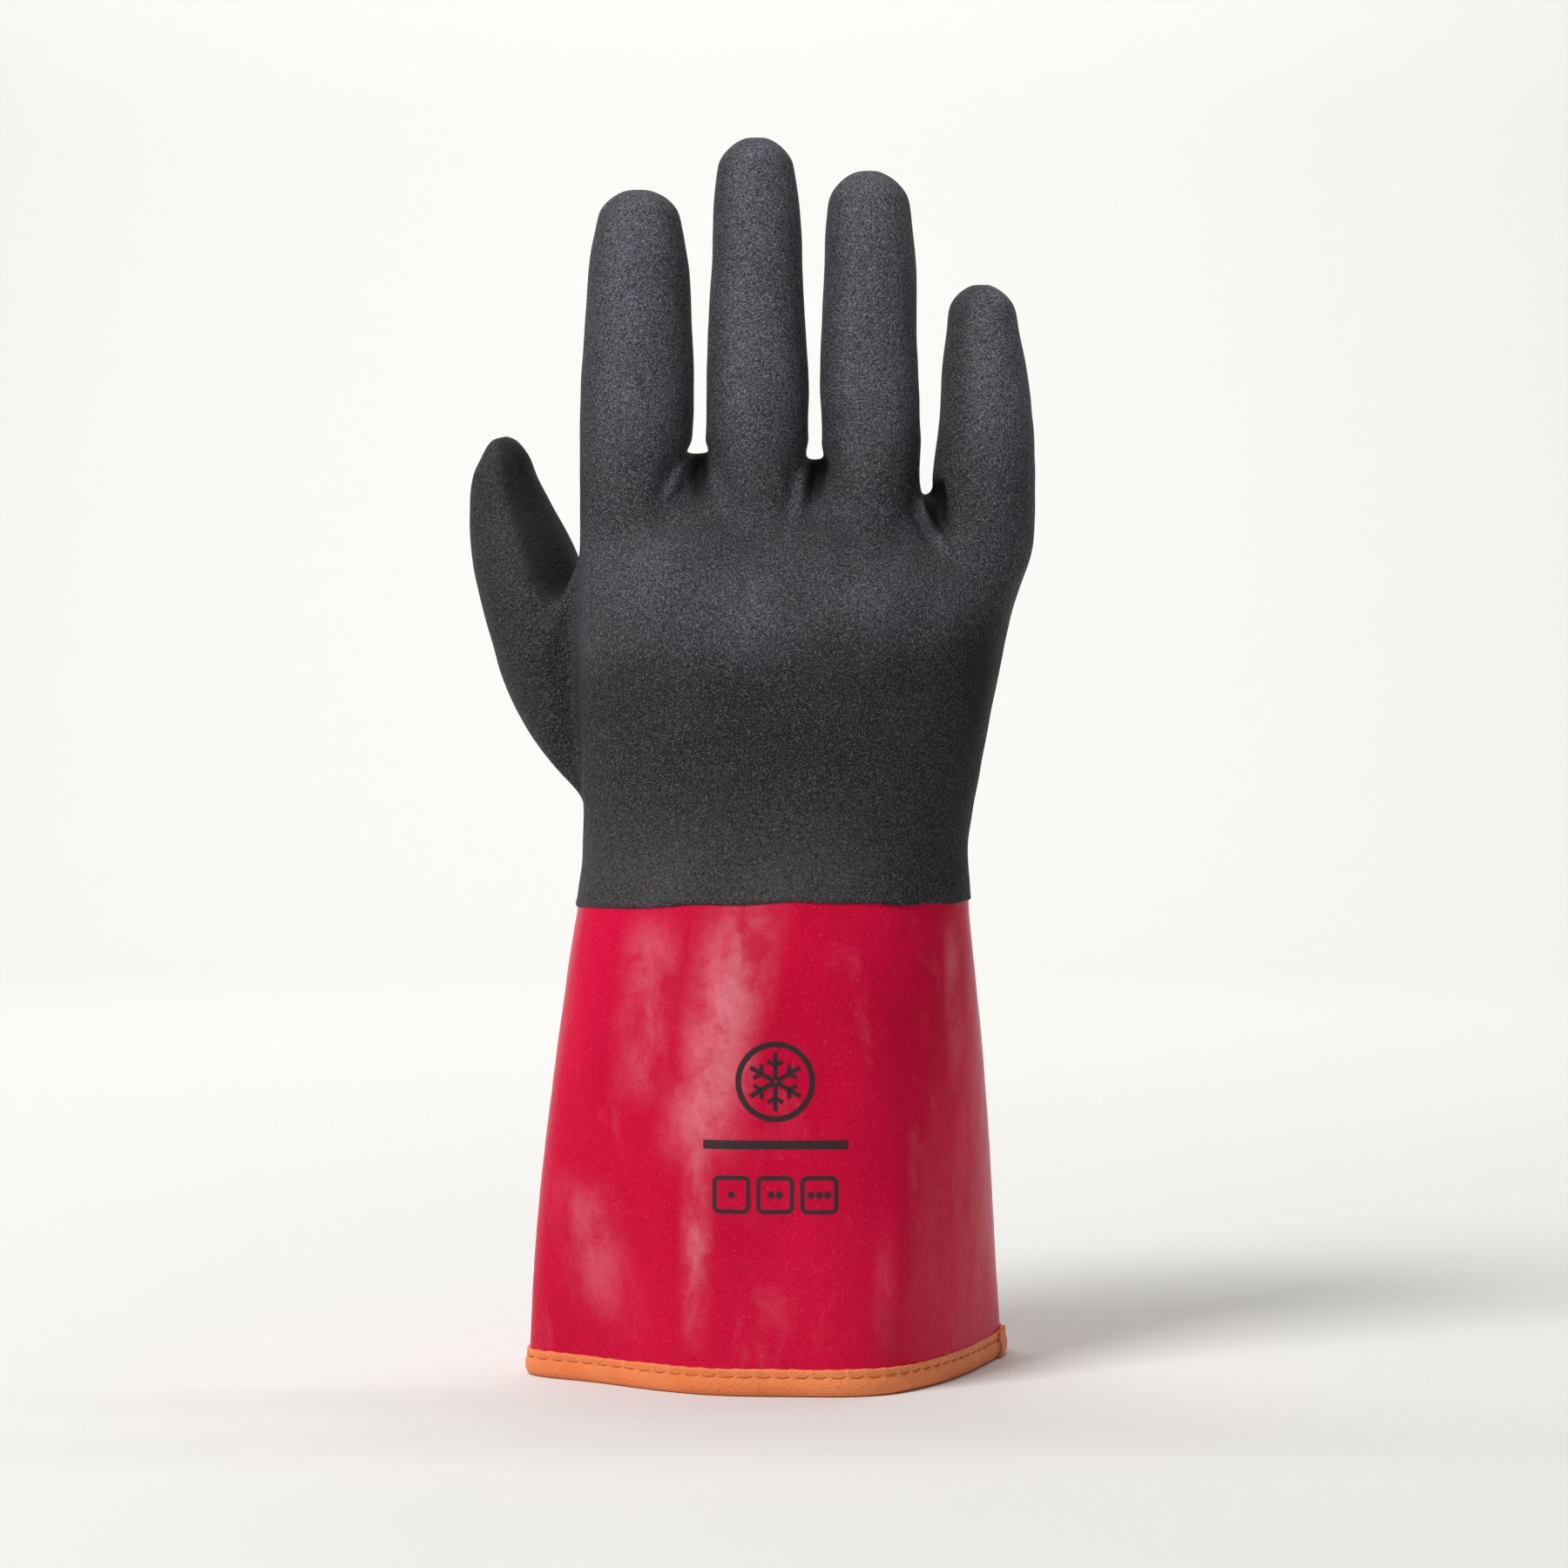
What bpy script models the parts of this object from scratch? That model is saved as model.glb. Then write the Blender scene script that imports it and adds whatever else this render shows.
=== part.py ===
"""A right-hand dipped gauntlet glove, standing on its hem with the fingers up.

The back of the hand faces -Y, the palm +Y, and the thumb is at -X. One outer surface, from the hem to the
fingertips, drives every layer of the glove: the black sandy coat, the red coat below it, and the knitted liner
are shells at their own depth under that surface. Each layer is cut where the glove bends, so that the lengths
between the creases are solids of their own.

Lengths in the tables are millimetres, measured from the hem's centre. MM turns them into metres.
"""

import math

import bmesh
import bpy
from mathutils import Vector

MM = 0.001

# The hem's centre, measured from the origin, which lies below the middle of the glove's overall box.
HEM_CENTRE = Vector((4.835, 0.0, 0.0))

# Each layer's name: (depth of its outside below the glove's outer surface, thickness).
LAYERS = {
    "outer_coat": (0.0, 0.7),
    "base_coat": (1.0, 0.7),
    "liner": (2.0, 1.3),
}
CUFF_LINING = (2.0, 0.8)
CREASE_GAP = 0.4

# The tube from hem to knuckles: height, left side, right side, back (-Y), palm (+Y), squareness of the section.
SECTIONS = (
    (0.0, -58.3, 59.5, -43.5, 43.5, 2.1),
    (60.0, -54.0, 55.2, -38.2, 38.2, 2.1),
    (113.0, -46.3, 49.4, -31.6, 32.0, 2.2),
    (126.0, -45.2, 49.2, -30.0, 30.0, 2.2),
    (150.0, -46.4, 53.0, -30.0, 27.0, 2.3),
    (174.0, -47.3, 58.0, -30.5, 23.4, 2.4),
    (186.0, -47.3, 60.6, -27.2, 21.2, 2.4),
    (204.0, -46.0, 64.5, -20.6, 16.5, 2.4),
    (222.0, -46.0, 65.2, -14.2, 11.5, 2.4),
)

# The hem stands turned against the wrist, and the cuff straightens on the way up to TURN_TOP_Z. Across the hem,
# from -1 (left) to 1 (right): the middle between its back and its palm, and its depth on either side of that.
HEM_MIDDLE = ((-1.0, -9.0), (1.0, 25.0))
HEM_BACK = (
    (-1.0, 21.0), (-0.76, 26.5), (-0.47, 39.5), (-0.24, 47.5), (0.1, 55.0),
    (0.43, 64.0), (0.57, 64.5), (0.78, 59.0), (1.0, 41.0),
)
HEM_PALM = ((-1.0, 39.0), (-0.5, 42.0), (0.0, 37.0), (0.5, 31.0), (1.0, 25.0))
TURN_TOP_Z = 116.0
COAT_EDGE_Z = 113.0
COAT_EDGE_DIP = 1.6
CUFF_ROWS = (1.4, 34.0, 66.0, 94.0)

# The wrist's creases: the lower one opens at the back of the hand, the upper one on the palm side.
WRIST_FLEXION_Z = 124.0
WRIST_EXTENSION_Z = 136.0

# Rows of the palm, as shares of the way from the wrist's upper crease to the finger roots.
PALM_ROWS = (0.0, 0.07, 0.25, 0.42, 0.59, 0.76, 0.88, 1.0)
THUMB_ROWS = (1, 5)
ROOT_BLEND_FROM = 0.76

# Round a finger: steps over its back or its palm side, steps over each flank, and the angle of its corners.
ARC_STEPS = 3
SIDE_STEPS = 2
CORNER = 40.0
HALF_SIDE = SIDE_STEPS // 2
RIGHT_CORNER = HALF_SIDE + ARC_STEPS
PALM_RIGHT = RIGHT_CORNER + SIDE_STEPS
PALM_LEFT = PALM_RIGHT + ARC_STEPS
RING = 2 * (ARC_STEPS + SIDE_STEPS)

# Finger: root centre x, tip centre x, root half width, half width where the tip's dome begins, height of the
# web at its left and right, heights of the knuckle crease, the middle crease and the tip.
FINGERS = {
    "index": (-32.4, -31.6, 13.6, 12.0, 218.0, 222.0, 228.0, 252.0, 287.3),
    "middle": (-2.4, -2.7, 12.6, 10.3, 222.0, 221.0, 227.5, 257.5, 300.0),
    "ring": (25.4, 24.6, 12.2, 10.8, 221.0, 213.0, 227.0, 253.0, 291.8),
    "little": (52.6, 51.9, 12.7, 9.5, 213.0, 208.0, 219.0, 238.5, 263.7),
}
FINGER_DEPTH = 0.93
FINGER_ROOT_Y = -1.2
FINGER_CURL = 5.0
DOME_LENGTH = 1.02
DOME_RINGS = (0.55, 0.85)
ROOT_DROP_BACK = 9.0
ROOT_DROP_PALM = 3.0

# Thumb stations: centre, tilt of the ring's wide axis from +X towards +Z in degrees, half sizes along and
# across it. The first is the crease where the thumb leaves the palm.
THUMB = (
    (-54.0, 15.0, 174.5, 58.0, 17.5, 15.5),
    (-59.7, 22.5, 192.5, 36.0, 14.6, 13.8),
    (-63.4, 27.5, 206.0, 18.0, 12.0, 11.6),
    (-65.4, 29.5, 218.0, 8.0, 9.4, 9.4),
)
THUMB_TIP = Vector((-65.8, 31.0, 229.4))
THUMB_DOME = ((0.45, 0.87), (0.82, 0.5))
THUMB_CREASE = 1.45
THUMB_CREASE_GAP = 0.9
THUMB_COLLAR = 2.0
THUMB_SOCKET_BULGE = 3.0

# The binding's section as (depth below the outer surface, height), from its outer lip round to its inner lip.
BINDING_SECTION = (
    (0.1, 0.6),
    (0.1, 7.6),
    (0.72, 7.6),
    (0.72, 0.9),
    (3.1, 0.9),
    (3.1, 7.0),
    (3.72, 7.0),
    (3.72, 0.6),
    (3.2, 0.0),
    (0.6, 0.0),
)
THREAD_RADIUS = 0.22
THREAD_SIDES = 5
STITCH_Z = 5.4
NEEDLE_THREAD_DEPTH = -0.24
BOBBIN_THREAD_DEPTH = 4.1
LAP_DEPTHS = (-1.25, -0.6)
LAP_HEIGHTS = (0.4, 8.1)

# Finishes: material name, base colour, roughness.
BLACK = ("black_coat", (0.021, 0.021, 0.024), 0.72)
RED = ("red_coat", (0.52, 0.008, 0.028), 0.38)
KNIT = ("knit_liner", (0.62, 0.60, 0.55), 0.9)
FABRIC = ("cuff_fabric", (0.70, 0.68, 0.62), 0.9)
TAPE = ("orange_tape", (0.80, 0.22, 0.05), 0.5)
THREAD = ("orange_thread", (0.62, 0.13, 0.03), 0.8)
LAYER_FINISH = {"outer_coat": BLACK, "base_coat": RED, "liner": KNIT}


def smooth_lookup(stations, at):
    """The values of a table at a place between its rows, on a smooth cubic through the rows."""
    at = min(max(at, stations[0][0]), stations[-1][0])
    row = max(i for i in range(len(stations) - 1) if stations[i][0] <= at)
    low, high = stations[row], stations[row + 1]
    before, after = stations[max(row - 1, 0)], stations[min(row + 2, len(stations) - 1)]
    step = high[0] - low[0]
    t = (at - low[0]) / step
    values = []
    for k in range(1, len(low)):
        slope_low = (high[k] - before[k]) / (high[0] - before[0]) * step
        slope_high = (after[k] - low[k]) / (after[0] - low[0]) * step
        rise = high[k] - low[k]
        values.append(
            low[k]
            + slope_low * t
            + (3 * rise - 2 * slope_low - slope_high) * t**2
            + (slope_low + slope_high - 2 * rise) * t**3
        )
    return values


def mix(a, b, share):
    return a + (b - a) * share


def smoothstep(x):
    x = min(max(x, 0.0), 1.0)
    return x * x * (3 - 2 * x)


class Surface:
    """The glove's outer surface: points, and faces that each carry the name of their region."""

    def __init__(self):
        self.points = []
        self.faces = []

    def add_row(self, points):
        first = len(self.points)
        self.points += points
        return list(range(first, len(self.points)))

    def add_band(self, low, high, region):
        """Quads between two closed rows with the same number of points."""
        n = len(low)
        for i in range(n):
            j = (i + 1) % n
            self.faces.append(((low[i], low[j], high[j], high[i]), region))

    def add_fan(self, row, apex, region):
        """Triangles that close a row onto one point."""
        (top,) = self.add_row([apex])
        for i in range(len(row)):
            self.faces.append(((row[i], row[(i + 1) % len(row)], top), region))


def ring_angles():
    """Angles round a finger, from the middle of its left flank over its back and home over its palm side."""
    spans = (
        (180, 180 + CORNER, HALF_SIDE),
        (180 + CORNER, 360 - CORNER, ARC_STEPS),
        (360 - CORNER, 360 + CORNER, SIDE_STEPS),
        (360 + CORNER, 540 - CORNER, ARC_STEPS),
        (540 - CORNER, 540, HALF_SIDE),
    )
    return [
        math.radians(mix(start, end, i / steps))
        for start, end, steps in spans
        for i in range(steps)
    ]


def finger_ring(finger, z):
    """The points of a level ring round a finger."""
    root_x, tip_x, root_half, dome_half, left_web, right_web, _, _, tip_z = FINGERS[finger]
    root_z = (left_web + right_web) / 2
    dome = DOME_LENGTH * dome_half
    share = (z - root_z) / (tip_z - root_z)
    straight = min(max((z - root_z) / (tip_z - dome - root_z), 0.0), 1.0)
    half_width = mix(root_half, dome_half, straight**1.3)
    into_dome = max(0.0, (z - (tip_z - dome)) / dome)
    half_width *= math.sqrt(max(0.0, 1 - into_dome**2))
    centre = Vector((mix(root_x, tip_x, share), FINGER_ROOT_Y + FINGER_CURL * share**2, z))
    half_depth = half_width * FINGER_DEPTH
    return [
        centre + Vector((half_width * math.cos(a), half_depth * math.sin(a), 0))
        for a in ring_angles()
    ]


def root_ring(finger):
    """The finger's lowest ring: high at the webs, and lower over its back and its palm side."""
    left_web, right_web = FINGERS[finger][4:6]
    points = finger_ring(finger, (left_web + right_web) / 2)
    for point, angle in zip(points, ring_angles()):
        web = mix(left_web, right_web, (math.cos(angle) + 1) / 2)
        drop = ROOT_DROP_BACK if math.sin(angle) < 0 else ROOT_DROP_PALM
        point.z = web - drop * abs(math.sin(angle))
    return points


def palm_columns():
    """The outline of the four finger roots as (finger number, ring place), once round the hand."""
    columns = [(0, i) for i in range(RIGHT_CORNER + 1)]
    for finger in (1, 2):
        columns += [(finger, i) for i in range(HALF_SIDE, RIGHT_CORNER + 1)]
    columns += [(3, i) for i in range(HALF_SIDE, PALM_LEFT + 1)]
    for finger in (2, 1):
        columns += [(finger, i) for i in range(PALM_RIGHT, PALM_LEFT + 1)]
    columns += [(0, i) for i in range(PALM_RIGHT, RING)]
    return columns


def section_point(across, side, z):
    """The point of the tube at height z, across from -1 (left) to 1 (right), on the back (-1) or palm (1)."""
    left, right, back, palm, squareness = smooth_lookup(SECTIONS, z)
    (hem_middle,) = smooth_lookup(HEM_MIDDLE, across)
    (hem_depth,) = smooth_lookup(HEM_PALM if side > 0 else HEM_BACK, across)
    turned = max(0.0, 1 - z / TURN_TOP_Z)
    middle = mix(0.0, hem_middle, turned)
    depth = mix(palm if side > 0 else -back, hem_depth, turned)
    rise = max(0.0, 1 - abs(across) ** squareness) ** (1 / squareness)
    return Vector(((left + right) / 2 + across * (right - left) / 2, middle + side * depth * rise, z))


def hand_columns():
    """For each column round the hand: where it stands across the tube, its side, and its finger root point."""
    roots = [root_ring(finger) for finger in FINGERS]
    top_left, top_right = SECTIONS[-1][1:3]
    middle, half = (top_left + top_right) / 2, (top_right - top_left) / 2
    angles = ring_angles()
    columns = []
    for finger, place in palm_columns():
        root = roots[finger][place]
        across = min(max((root.x - middle) / half, -1.0), 1.0)
        columns.append((across, math.copysign(1, math.sin(angles[place])), root))
    return columns


def coat_edge_z(column):
    """The black coat's lower edge, which dips a little towards the thumb side."""
    across, side, _ = column
    return COAT_EDGE_Z - COAT_EDGE_DIP * smoothstep(-across * 1.4) * (1 if side < 0 else 0.5)


def palm_point(column, share):
    """A point of the hand, from the wrist's upper crease (0) to the finger roots (1)."""
    across, side, root = column
    z = mix(WRIST_EXTENSION_Z + CREASE_GAP / 2, root.z, share)
    tube = section_point(across, side, z)
    to_root = smoothstep((share - ROOT_BLEND_FROM) / (1 - ROOT_BLEND_FROM))
    return Vector((mix(tube.x, root.x, to_root), mix(tube.y, root.y, to_root), z))


def add_cuff_and_wrist(surface, columns):
    """The gauntlet and the wrist up to the upper crease. Returns the topmost row."""
    half_gap = CREASE_GAP / 2

    def row(height):
        return surface.add_row([section_point(c[0], c[1], height(c)) for c in columns])

    rows = [(row(lambda c, z=z: z), "cuff") for z in CUFF_ROWS]
    rows.append((row(coat_edge_z), "cuff"))
    rows.append((row(lambda c: WRIST_FLEXION_Z - half_gap), "coat_hem"))
    rows.append((row(lambda c: WRIST_FLEXION_Z + half_gap), None))
    rows.append((row(lambda c: WRIST_EXTENSION_Z - half_gap), "wrist"))
    rows.append((row(lambda c: WRIST_EXTENSION_Z + half_gap), None))
    for (low, _), (high, region) in zip(rows, rows[1:]):
        surface.add_band(low, high, region)
    return rows[-1][0]


def add_palm(surface, columns, wrist_row):
    """The hand from the wrist to the finger roots, less the thumb's socket.

    Returns the finger root rings and the loop round the socket, which starts at its upper left corner."""
    rows = [wrist_row]
    for share in PALM_ROWS[1:]:
        rows.append(surface.add_row([palm_point(c, share) for c in columns]))
    n = len(columns)
    socket_columns = HALF_SIDE + ARC_STEPS
    low, high = THUMB_ROWS
    for r in range(len(rows) - 1):
        for i in range(n):
            if low <= r < high and i >= n - socket_columns:
                continue
            j = (i + 1) % n
            surface.faces.append(((rows[r][i], rows[r][j], rows[r + 1][j], rows[r + 1][i]), "hand"))
    across = [0] + [n - k for k in range(1, socket_columns + 1)]
    loop = [rows[high][i] for i in across[:-1]]
    loop += [rows[r][across[-1]] for r in range(high, low, -1)]
    loop += [rows[low][i] for i in reversed(across[1:])]
    loop += [rows[r][0] for r in range(low, high)]
    rings = [[None] * RING for _ in FINGERS]
    for index, (finger, place) in zip(rows[-1], palm_columns()):
        rings[finger][place] = index
    return rings, loop


def add_webs(surface, rings):
    """The inner flank points of each finger root, and the strips of web between neighbouring fingers."""
    for ring, finger in zip(rings, FINGERS):
        points = root_ring(finger)
        for place in range(RING):
            if ring[place] is None:
                (ring[place],) = surface.add_row([points[place]])
    for left, right in zip(rings, rings[1:]):
        left_side = [left[i] for i in range(RIGHT_CORNER, PALM_RIGHT + 1)]
        right_side = [right[i % RING] for i in range(HALF_SIDE + RING, PALM_LEFT - 1, -1)]
        for k in range(SIDE_STEPS):
            face = (left_side[k], right_side[k], right_side[k + 1], left_side[k + 1])
            surface.faces.append((face, "hand"))


def add_finger(surface, finger, ring):
    """A finger from its root ring to its tip, cut at the knuckle crease and the middle crease."""
    dome_half, left_web, right_web, knuckle, middle, tip_z = FINGERS[finger][3:]
    dome_z = tip_z - DOME_LENGTH * dome_half
    half_gap = CREASE_GAP / 2
    stations = [
        (max(left_web, right_web) + 2.2, "hand"),
        (knuckle - half_gap, "hand"),
        (knuckle + half_gap, None),
        ((knuckle + middle) / 2, finger + "_base"),
        (middle - half_gap, finger + "_base"),
        (middle + half_gap, None),
        ((middle + dome_z) / 2, finger + "_tip"),
        (dome_z, finger + "_tip"),
    ]
    stations += [(mix(dome_z, tip_z, share), finger + "_tip") for share in DOME_RINGS]
    for z, region in stations:
        above = surface.add_row(finger_ring(finger, z))
        surface.add_band(ring, above, region)
        ring = above
    apex = finger_ring(finger, tip_z)[0]
    surface.add_fan(ring, apex, finger + "_tip")


def thumb_frame(station):
    """The thumb's ring at a station number: centre, wide axis, direction to its pad, half sizes."""
    rows = [(float(i), *row) for i, row in enumerate(THUMB)]
    x, y, z, tilt, half_wide, half_deep = smooth_lookup(rows, station)
    step = 0.05
    ahead = Vector(smooth_lookup(rows, min(station + step, len(THUMB) - 1))[:3])
    behind = Vector(smooth_lookup(rows, max(station - step, 0))[:3])
    wide = Vector((math.cos(math.radians(tilt)), 0, math.sin(math.radians(tilt))))
    along = ahead - behind
    along = (along - along.dot(wide) * wide).normalized()
    return Vector((x, y, z)), wide, along.cross(wide), half_wide, half_deep


def thumb_ring(station, count, shift=0.0):
    """A ring of the thumb, shifted along it. Its points start beside the socket's upper left corner."""
    centre, wide, pad, half_wide, half_deep = thumb_frame(station)
    centre = centre + wide.cross(pad) * shift
    points = []
    for i in range(count):
        angle = 2 * math.pi * i / count - math.pi / 4
        offset = wide * (half_wide * math.cos(angle)) + pad * (half_deep * math.sin(angle))
        points.append(centre + offset)
    return points


def add_thumb(surface, loop):
    """The thumb from its socket in the palm to its tip, cut at its root crease and its middle crease."""
    count = len(loop)
    half_gap = THUMB_CREASE_GAP / 2
    centre = thumb_frame(0.0)[0]
    socket = []
    for index, point in zip(loop, thumb_ring(0.0, count)):
        halfway = (surface.points[index] + point) / 2
        outward = (halfway - centre).normalized()
        socket.append(halfway + outward * (THUMB_SOCKET_BULGE * max(0.0, -outward.z)))
    rings = [(socket, "hand")]
    for station, shift, region in (
        (0.0, -THUMB_COLLAR, "hand"),
        (0.0, -half_gap, "hand"),
        (0.0, half_gap, None),
        (0.0, THUMB_COLLAR, "thumb_base"),
        (0.75, 0.0, "thumb_base"),
        (THUMB_CREASE, -half_gap, "thumb_base"),
        (THUMB_CREASE, half_gap, None),
        (2.2, 0.0, "thumb_tip"),
        (len(THUMB) - 1, 0.0, "thumb_tip"),
    ):
        rings.append((thumb_ring(station, count, shift), region))
    last_ring = rings[-1][0]
    dome_centre = thumb_frame(len(THUMB) - 1)[0]
    for share, size in THUMB_DOME:
        centre = dome_centre.lerp(THUMB_TIP, share)
        rings.append(([centre + (point - dome_centre) * size for point in last_ring], "thumb_tip"))
    for points, region in rings:
        row = surface.add_row(points)
        surface.add_band(loop, row, region)
        loop = row
    surface.add_fan(loop, THUMB_TIP, "thumb_tip")


def glove_surface():
    surface = Surface()
    columns = hand_columns()
    wrist_row = add_cuff_and_wrist(surface, columns)
    rings, loop = add_palm(surface, columns, wrist_row)
    add_webs(surface, rings)
    for finger, ring in zip(FINGERS, rings):
        add_finger(surface, finger, ring)
    add_thumb(surface, loop)
    return surface


def triangulated(surface):
    """The surface's points and its triangles by region, all wound to face outwards."""
    regions = [None] + sorted({region for _, region in surface.faces if region})
    bm = bmesh.new()
    points = [bm.verts.new(point) for point in surface.points]
    for corners, region in surface.faces:
        face = bm.faces.new([points[i] for i in corners])
        face.material_index = regions.index(region)
    bmesh.ops.recalc_face_normals(bm, faces=bm.faces)
    bmesh.ops.triangulate(bm, faces=bm.faces, quad_method="SHORT_EDGE")
    bm.verts.index_update()
    places = [v.co.copy() for v in bm.verts]
    triangles = {region: [] for region in regions}
    for face in bm.faces:
        triangles[regions[face.material_index]].append([v.index for v in face.verts])
    bm.free()
    return places, triangles


def finish_material(finish):
    name, colour, roughness = finish
    material = bpy.data.materials.get(name)
    if material is None:
        material = bpy.data.materials.new(name)
        material.use_nodes = True
        shader = material.node_tree.nodes["Principled BSDF"]
        shader.inputs["Base Color"].default_value = (*colour, 1)
        shader.inputs["Roughness"].default_value = roughness
        shader.inputs["Metallic"].default_value = 0.0
        material.diffuse_color = (*colour, 1)
    return material


def add_object(name, points, faces, body, finish):
    """A mesh object from points in millimetres about the hem's centre, hung on its body's empty."""
    pivot = body["pivot"]
    mesh = bpy.data.meshes.new(name)
    mesh.from_pydata([(HEM_CENTRE + p) * MM - Vector(pivot) for p in points], [], faces)
    mesh.materials.append(finish_material(finish))
    obj = bpy.data.objects.new(name, mesh)
    bpy.data.collections["cryogenic_glove"].objects.link(obj)
    obj.parent = body
    mesh.shade_smooth()
    mesh.set_sharp_from_angle(angle=math.radians(50))
    return obj


def add_shell(name, skin, regions, layer, body, finish):
    """One layer of the glove over some regions: the open outer surface, with a Solidify at the layer's depth."""
    places, triangles = skin
    depth, thickness = layer
    faces = [face for region in regions for face in triangles[region]]
    used = sorted({i for face in faces for i in face})
    order = {index: i for i, index in enumerate(used)}
    points = [places[i] for i in used]
    obj = add_object(name, points, [[order[i] for i in face] for face in faces], body, finish)
    solidify = obj.modifiers.new("Wall", "SOLIDIFY")
    solidify.thickness = thickness * MM
    solidify.offset = -1.0 - 2.0 * depth / thickness
    solidify.use_even_offset = True


def hem_point(columns, i, depth, z):
    """A point at a column of the hem, this far inside the glove's outer surface."""
    n = len(columns)
    before, here, after = (
        section_point(columns[k % n][0], columns[k % n][1], z) for k in (i - 1, i, i + 1)
    )
    along = (after - before).normalized()
    outward = Vector((-along.y, along.x, 0))
    if outward.dot(here) < 0:
        outward.negate()
    return here - outward * depth


def add_hoop(name, columns, section, body, finish):
    """A closed hoop round the hem with this section, as (depth, height) pairs."""
    points, faces = [], []
    n, m = len(columns), len(section)
    for i in range(n):
        points += [hem_point(columns, i, depth, z) for depth, z in section]
    for i in range(n):
        j = (i + 1) % n
        for k in range(m):
            q = (k + 1) % m
            faces.append((i * m + k, i * m + q, j * m + q, j * m + k))
    obj = add_object(name, points, faces, body, finish)
    face_outwards(obj)
    return obj


def face_outwards(obj):
    bm = bmesh.new()
    bm.from_mesh(obj.data)
    bmesh.ops.recalc_face_normals(bm, faces=bm.faces)
    bm.to_mesh(obj.data)
    bm.free()


def thread_section(depth):
    """A round thread's section, centred at this depth and the stitch line's height."""
    section = []
    for k in range(THREAD_SIDES):
        angle = 2 * math.pi * k / THREAD_SIDES
        section.append(
            (depth + THREAD_RADIUS * math.cos(angle), STITCH_Z + THREAD_RADIUS * math.sin(angle))
        )
    return section


def add_lap(columns, body):
    """The end of the tape, turned over its start on the little-finger side of the hem."""
    right = max(range(len(columns)), key=lambda i: columns[i][0])
    places = (right - 1, right, right + 1)
    near, far = (hem_point(columns, right + k, 0, 0) for k in (-1, 1))
    middle = hem_point(columns, right, 0, 0)
    half_length = 5.0
    points = []
    for place, end in zip(places, (near, middle, far)):
        reach = 1.0 if place == right else half_length / (end - middle).length
        for depth, z in (
            (LAP_DEPTHS[0], LAP_HEIGHTS[0]),
            (LAP_DEPTHS[0], LAP_HEIGHTS[1]),
            (LAP_DEPTHS[1], LAP_HEIGHTS[1]),
            (LAP_DEPTHS[1], LAP_HEIGHTS[0]),
        ):
            here = hem_point(columns, right, depth, z)
            there = hem_point(columns, place, depth, z)
            points.append(here.lerp(there, reach))
    faces = [(0, 1, 2, 3), (8, 9, 10, 11)]
    for start in (0, 4):
        for k in range(4):
            q = (k + 1) % 4
            faces.append((start + k, start + q, start + 4 + q, start + 4 + k))
    obj = add_object("binding_lap", points, faces, body, TAPE)
    face_outwards(obj)
    return obj


def add_body(name, parent, pivot):
    """An empty at a body's joint, given in millimetres about the hem's centre."""
    empty = bpy.data.objects.new(name, None)
    bpy.data.collections["cryogenic_glove"].objects.link(empty)
    world = (HEM_CENTRE + pivot) * MM
    empty["pivot"] = list(world)
    if parent is None:
        empty.location = world
    else:
        empty.parent = parent
        empty.location = world - Vector(parent["pivot"])
    return empty


def crease_pivot(finger, z):
    """The middle of a finger's crease, on the palm side of the finger."""
    points = finger_ring(finger, z)
    x = FINGERS[finger][0]
    return Vector((x, max(p.y for p in points) + CREASE_GAP, z))


def wrist_pivot(z, side):
    """The middle of a wrist crease, on the back (-1) or palm (1) of the hand."""
    point = section_point(0.0, side, z)
    return point + Vector((0, side * CREASE_GAP, 0))


def thumb_pivot(station):
    """The middle of a thumb crease, on the pad side of the thumb."""
    centre, _, pad, _, half_deep = thumb_frame(station)
    return centre + pad * (half_deep + CREASE_GAP)


def build():
    for obj in list(bpy.data.objects):
        bpy.data.objects.remove(obj)
    collection = bpy.data.collections.new("cryogenic_glove")
    bpy.context.scene.collection.children.link(collection)

    skin = triangulated(glove_surface())
    columns = hand_columns()

    cuff = add_body("cuff", None, Vector((0, 0, 0)))
    add_shell("cuff_base_coat", skin, ("cuff", "coat_hem"), LAYERS["base_coat"], cuff, RED)
    add_shell("cuff_fabric_lining", skin, ("cuff", "coat_hem"), CUFF_LINING, cuff, FABRIC)
    add_shell("coat_hem_outer_coat", skin, ("coat_hem",), LAYERS["outer_coat"], cuff, BLACK)
    add_hoop("hem_binding", columns, BINDING_SECTION, cuff, TAPE)
    add_hoop("needle_thread", columns, thread_section(NEEDLE_THREAD_DEPTH), cuff, THREAD)
    add_hoop("bobbin_thread", columns, thread_section(BOBBIN_THREAD_DEPTH), cuff, THREAD)
    add_lap(columns, cuff)

    wrist_palm = wrist_pivot(WRIST_FLEXION_Z, 1)
    wrist_back = wrist_pivot(WRIST_EXTENSION_Z, -1)
    wrist = add_body("wrist", cuff, wrist_palm)
    hand = add_body("hand", wrist, wrist_back)
    bodies = {"wrist": (wrist, ("wrist",)), "hand": (hand, ("hand",))}
    for finger, row in FINGERS.items():
        knuckle, middle = row[6:8]
        base = add_body(finger + "_base", hand, crease_pivot(finger, knuckle))
        tip = add_body(finger + "_tip", base, crease_pivot(finger, middle))
        bodies[finger + "_base"] = (base, (finger + "_base",))
        bodies[finger + "_tip"] = (tip, (finger + "_tip",))
    thumb_base = add_body("thumb_base", hand, thumb_pivot(0.0))
    thumb_tip = add_body("thumb_tip", thumb_base, thumb_pivot(THUMB_CREASE))
    bodies["thumb_base"] = (thumb_base, ("thumb_base",))
    bodies["thumb_tip"] = (thumb_tip, ("thumb_tip",))

    for name, (body, regions) in bodies.items():
        for layer, sizes in LAYERS.items():
            add_shell(f"{name}_{layer}", skin, regions, sizes, body, LAYER_FINISH[layer])


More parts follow.
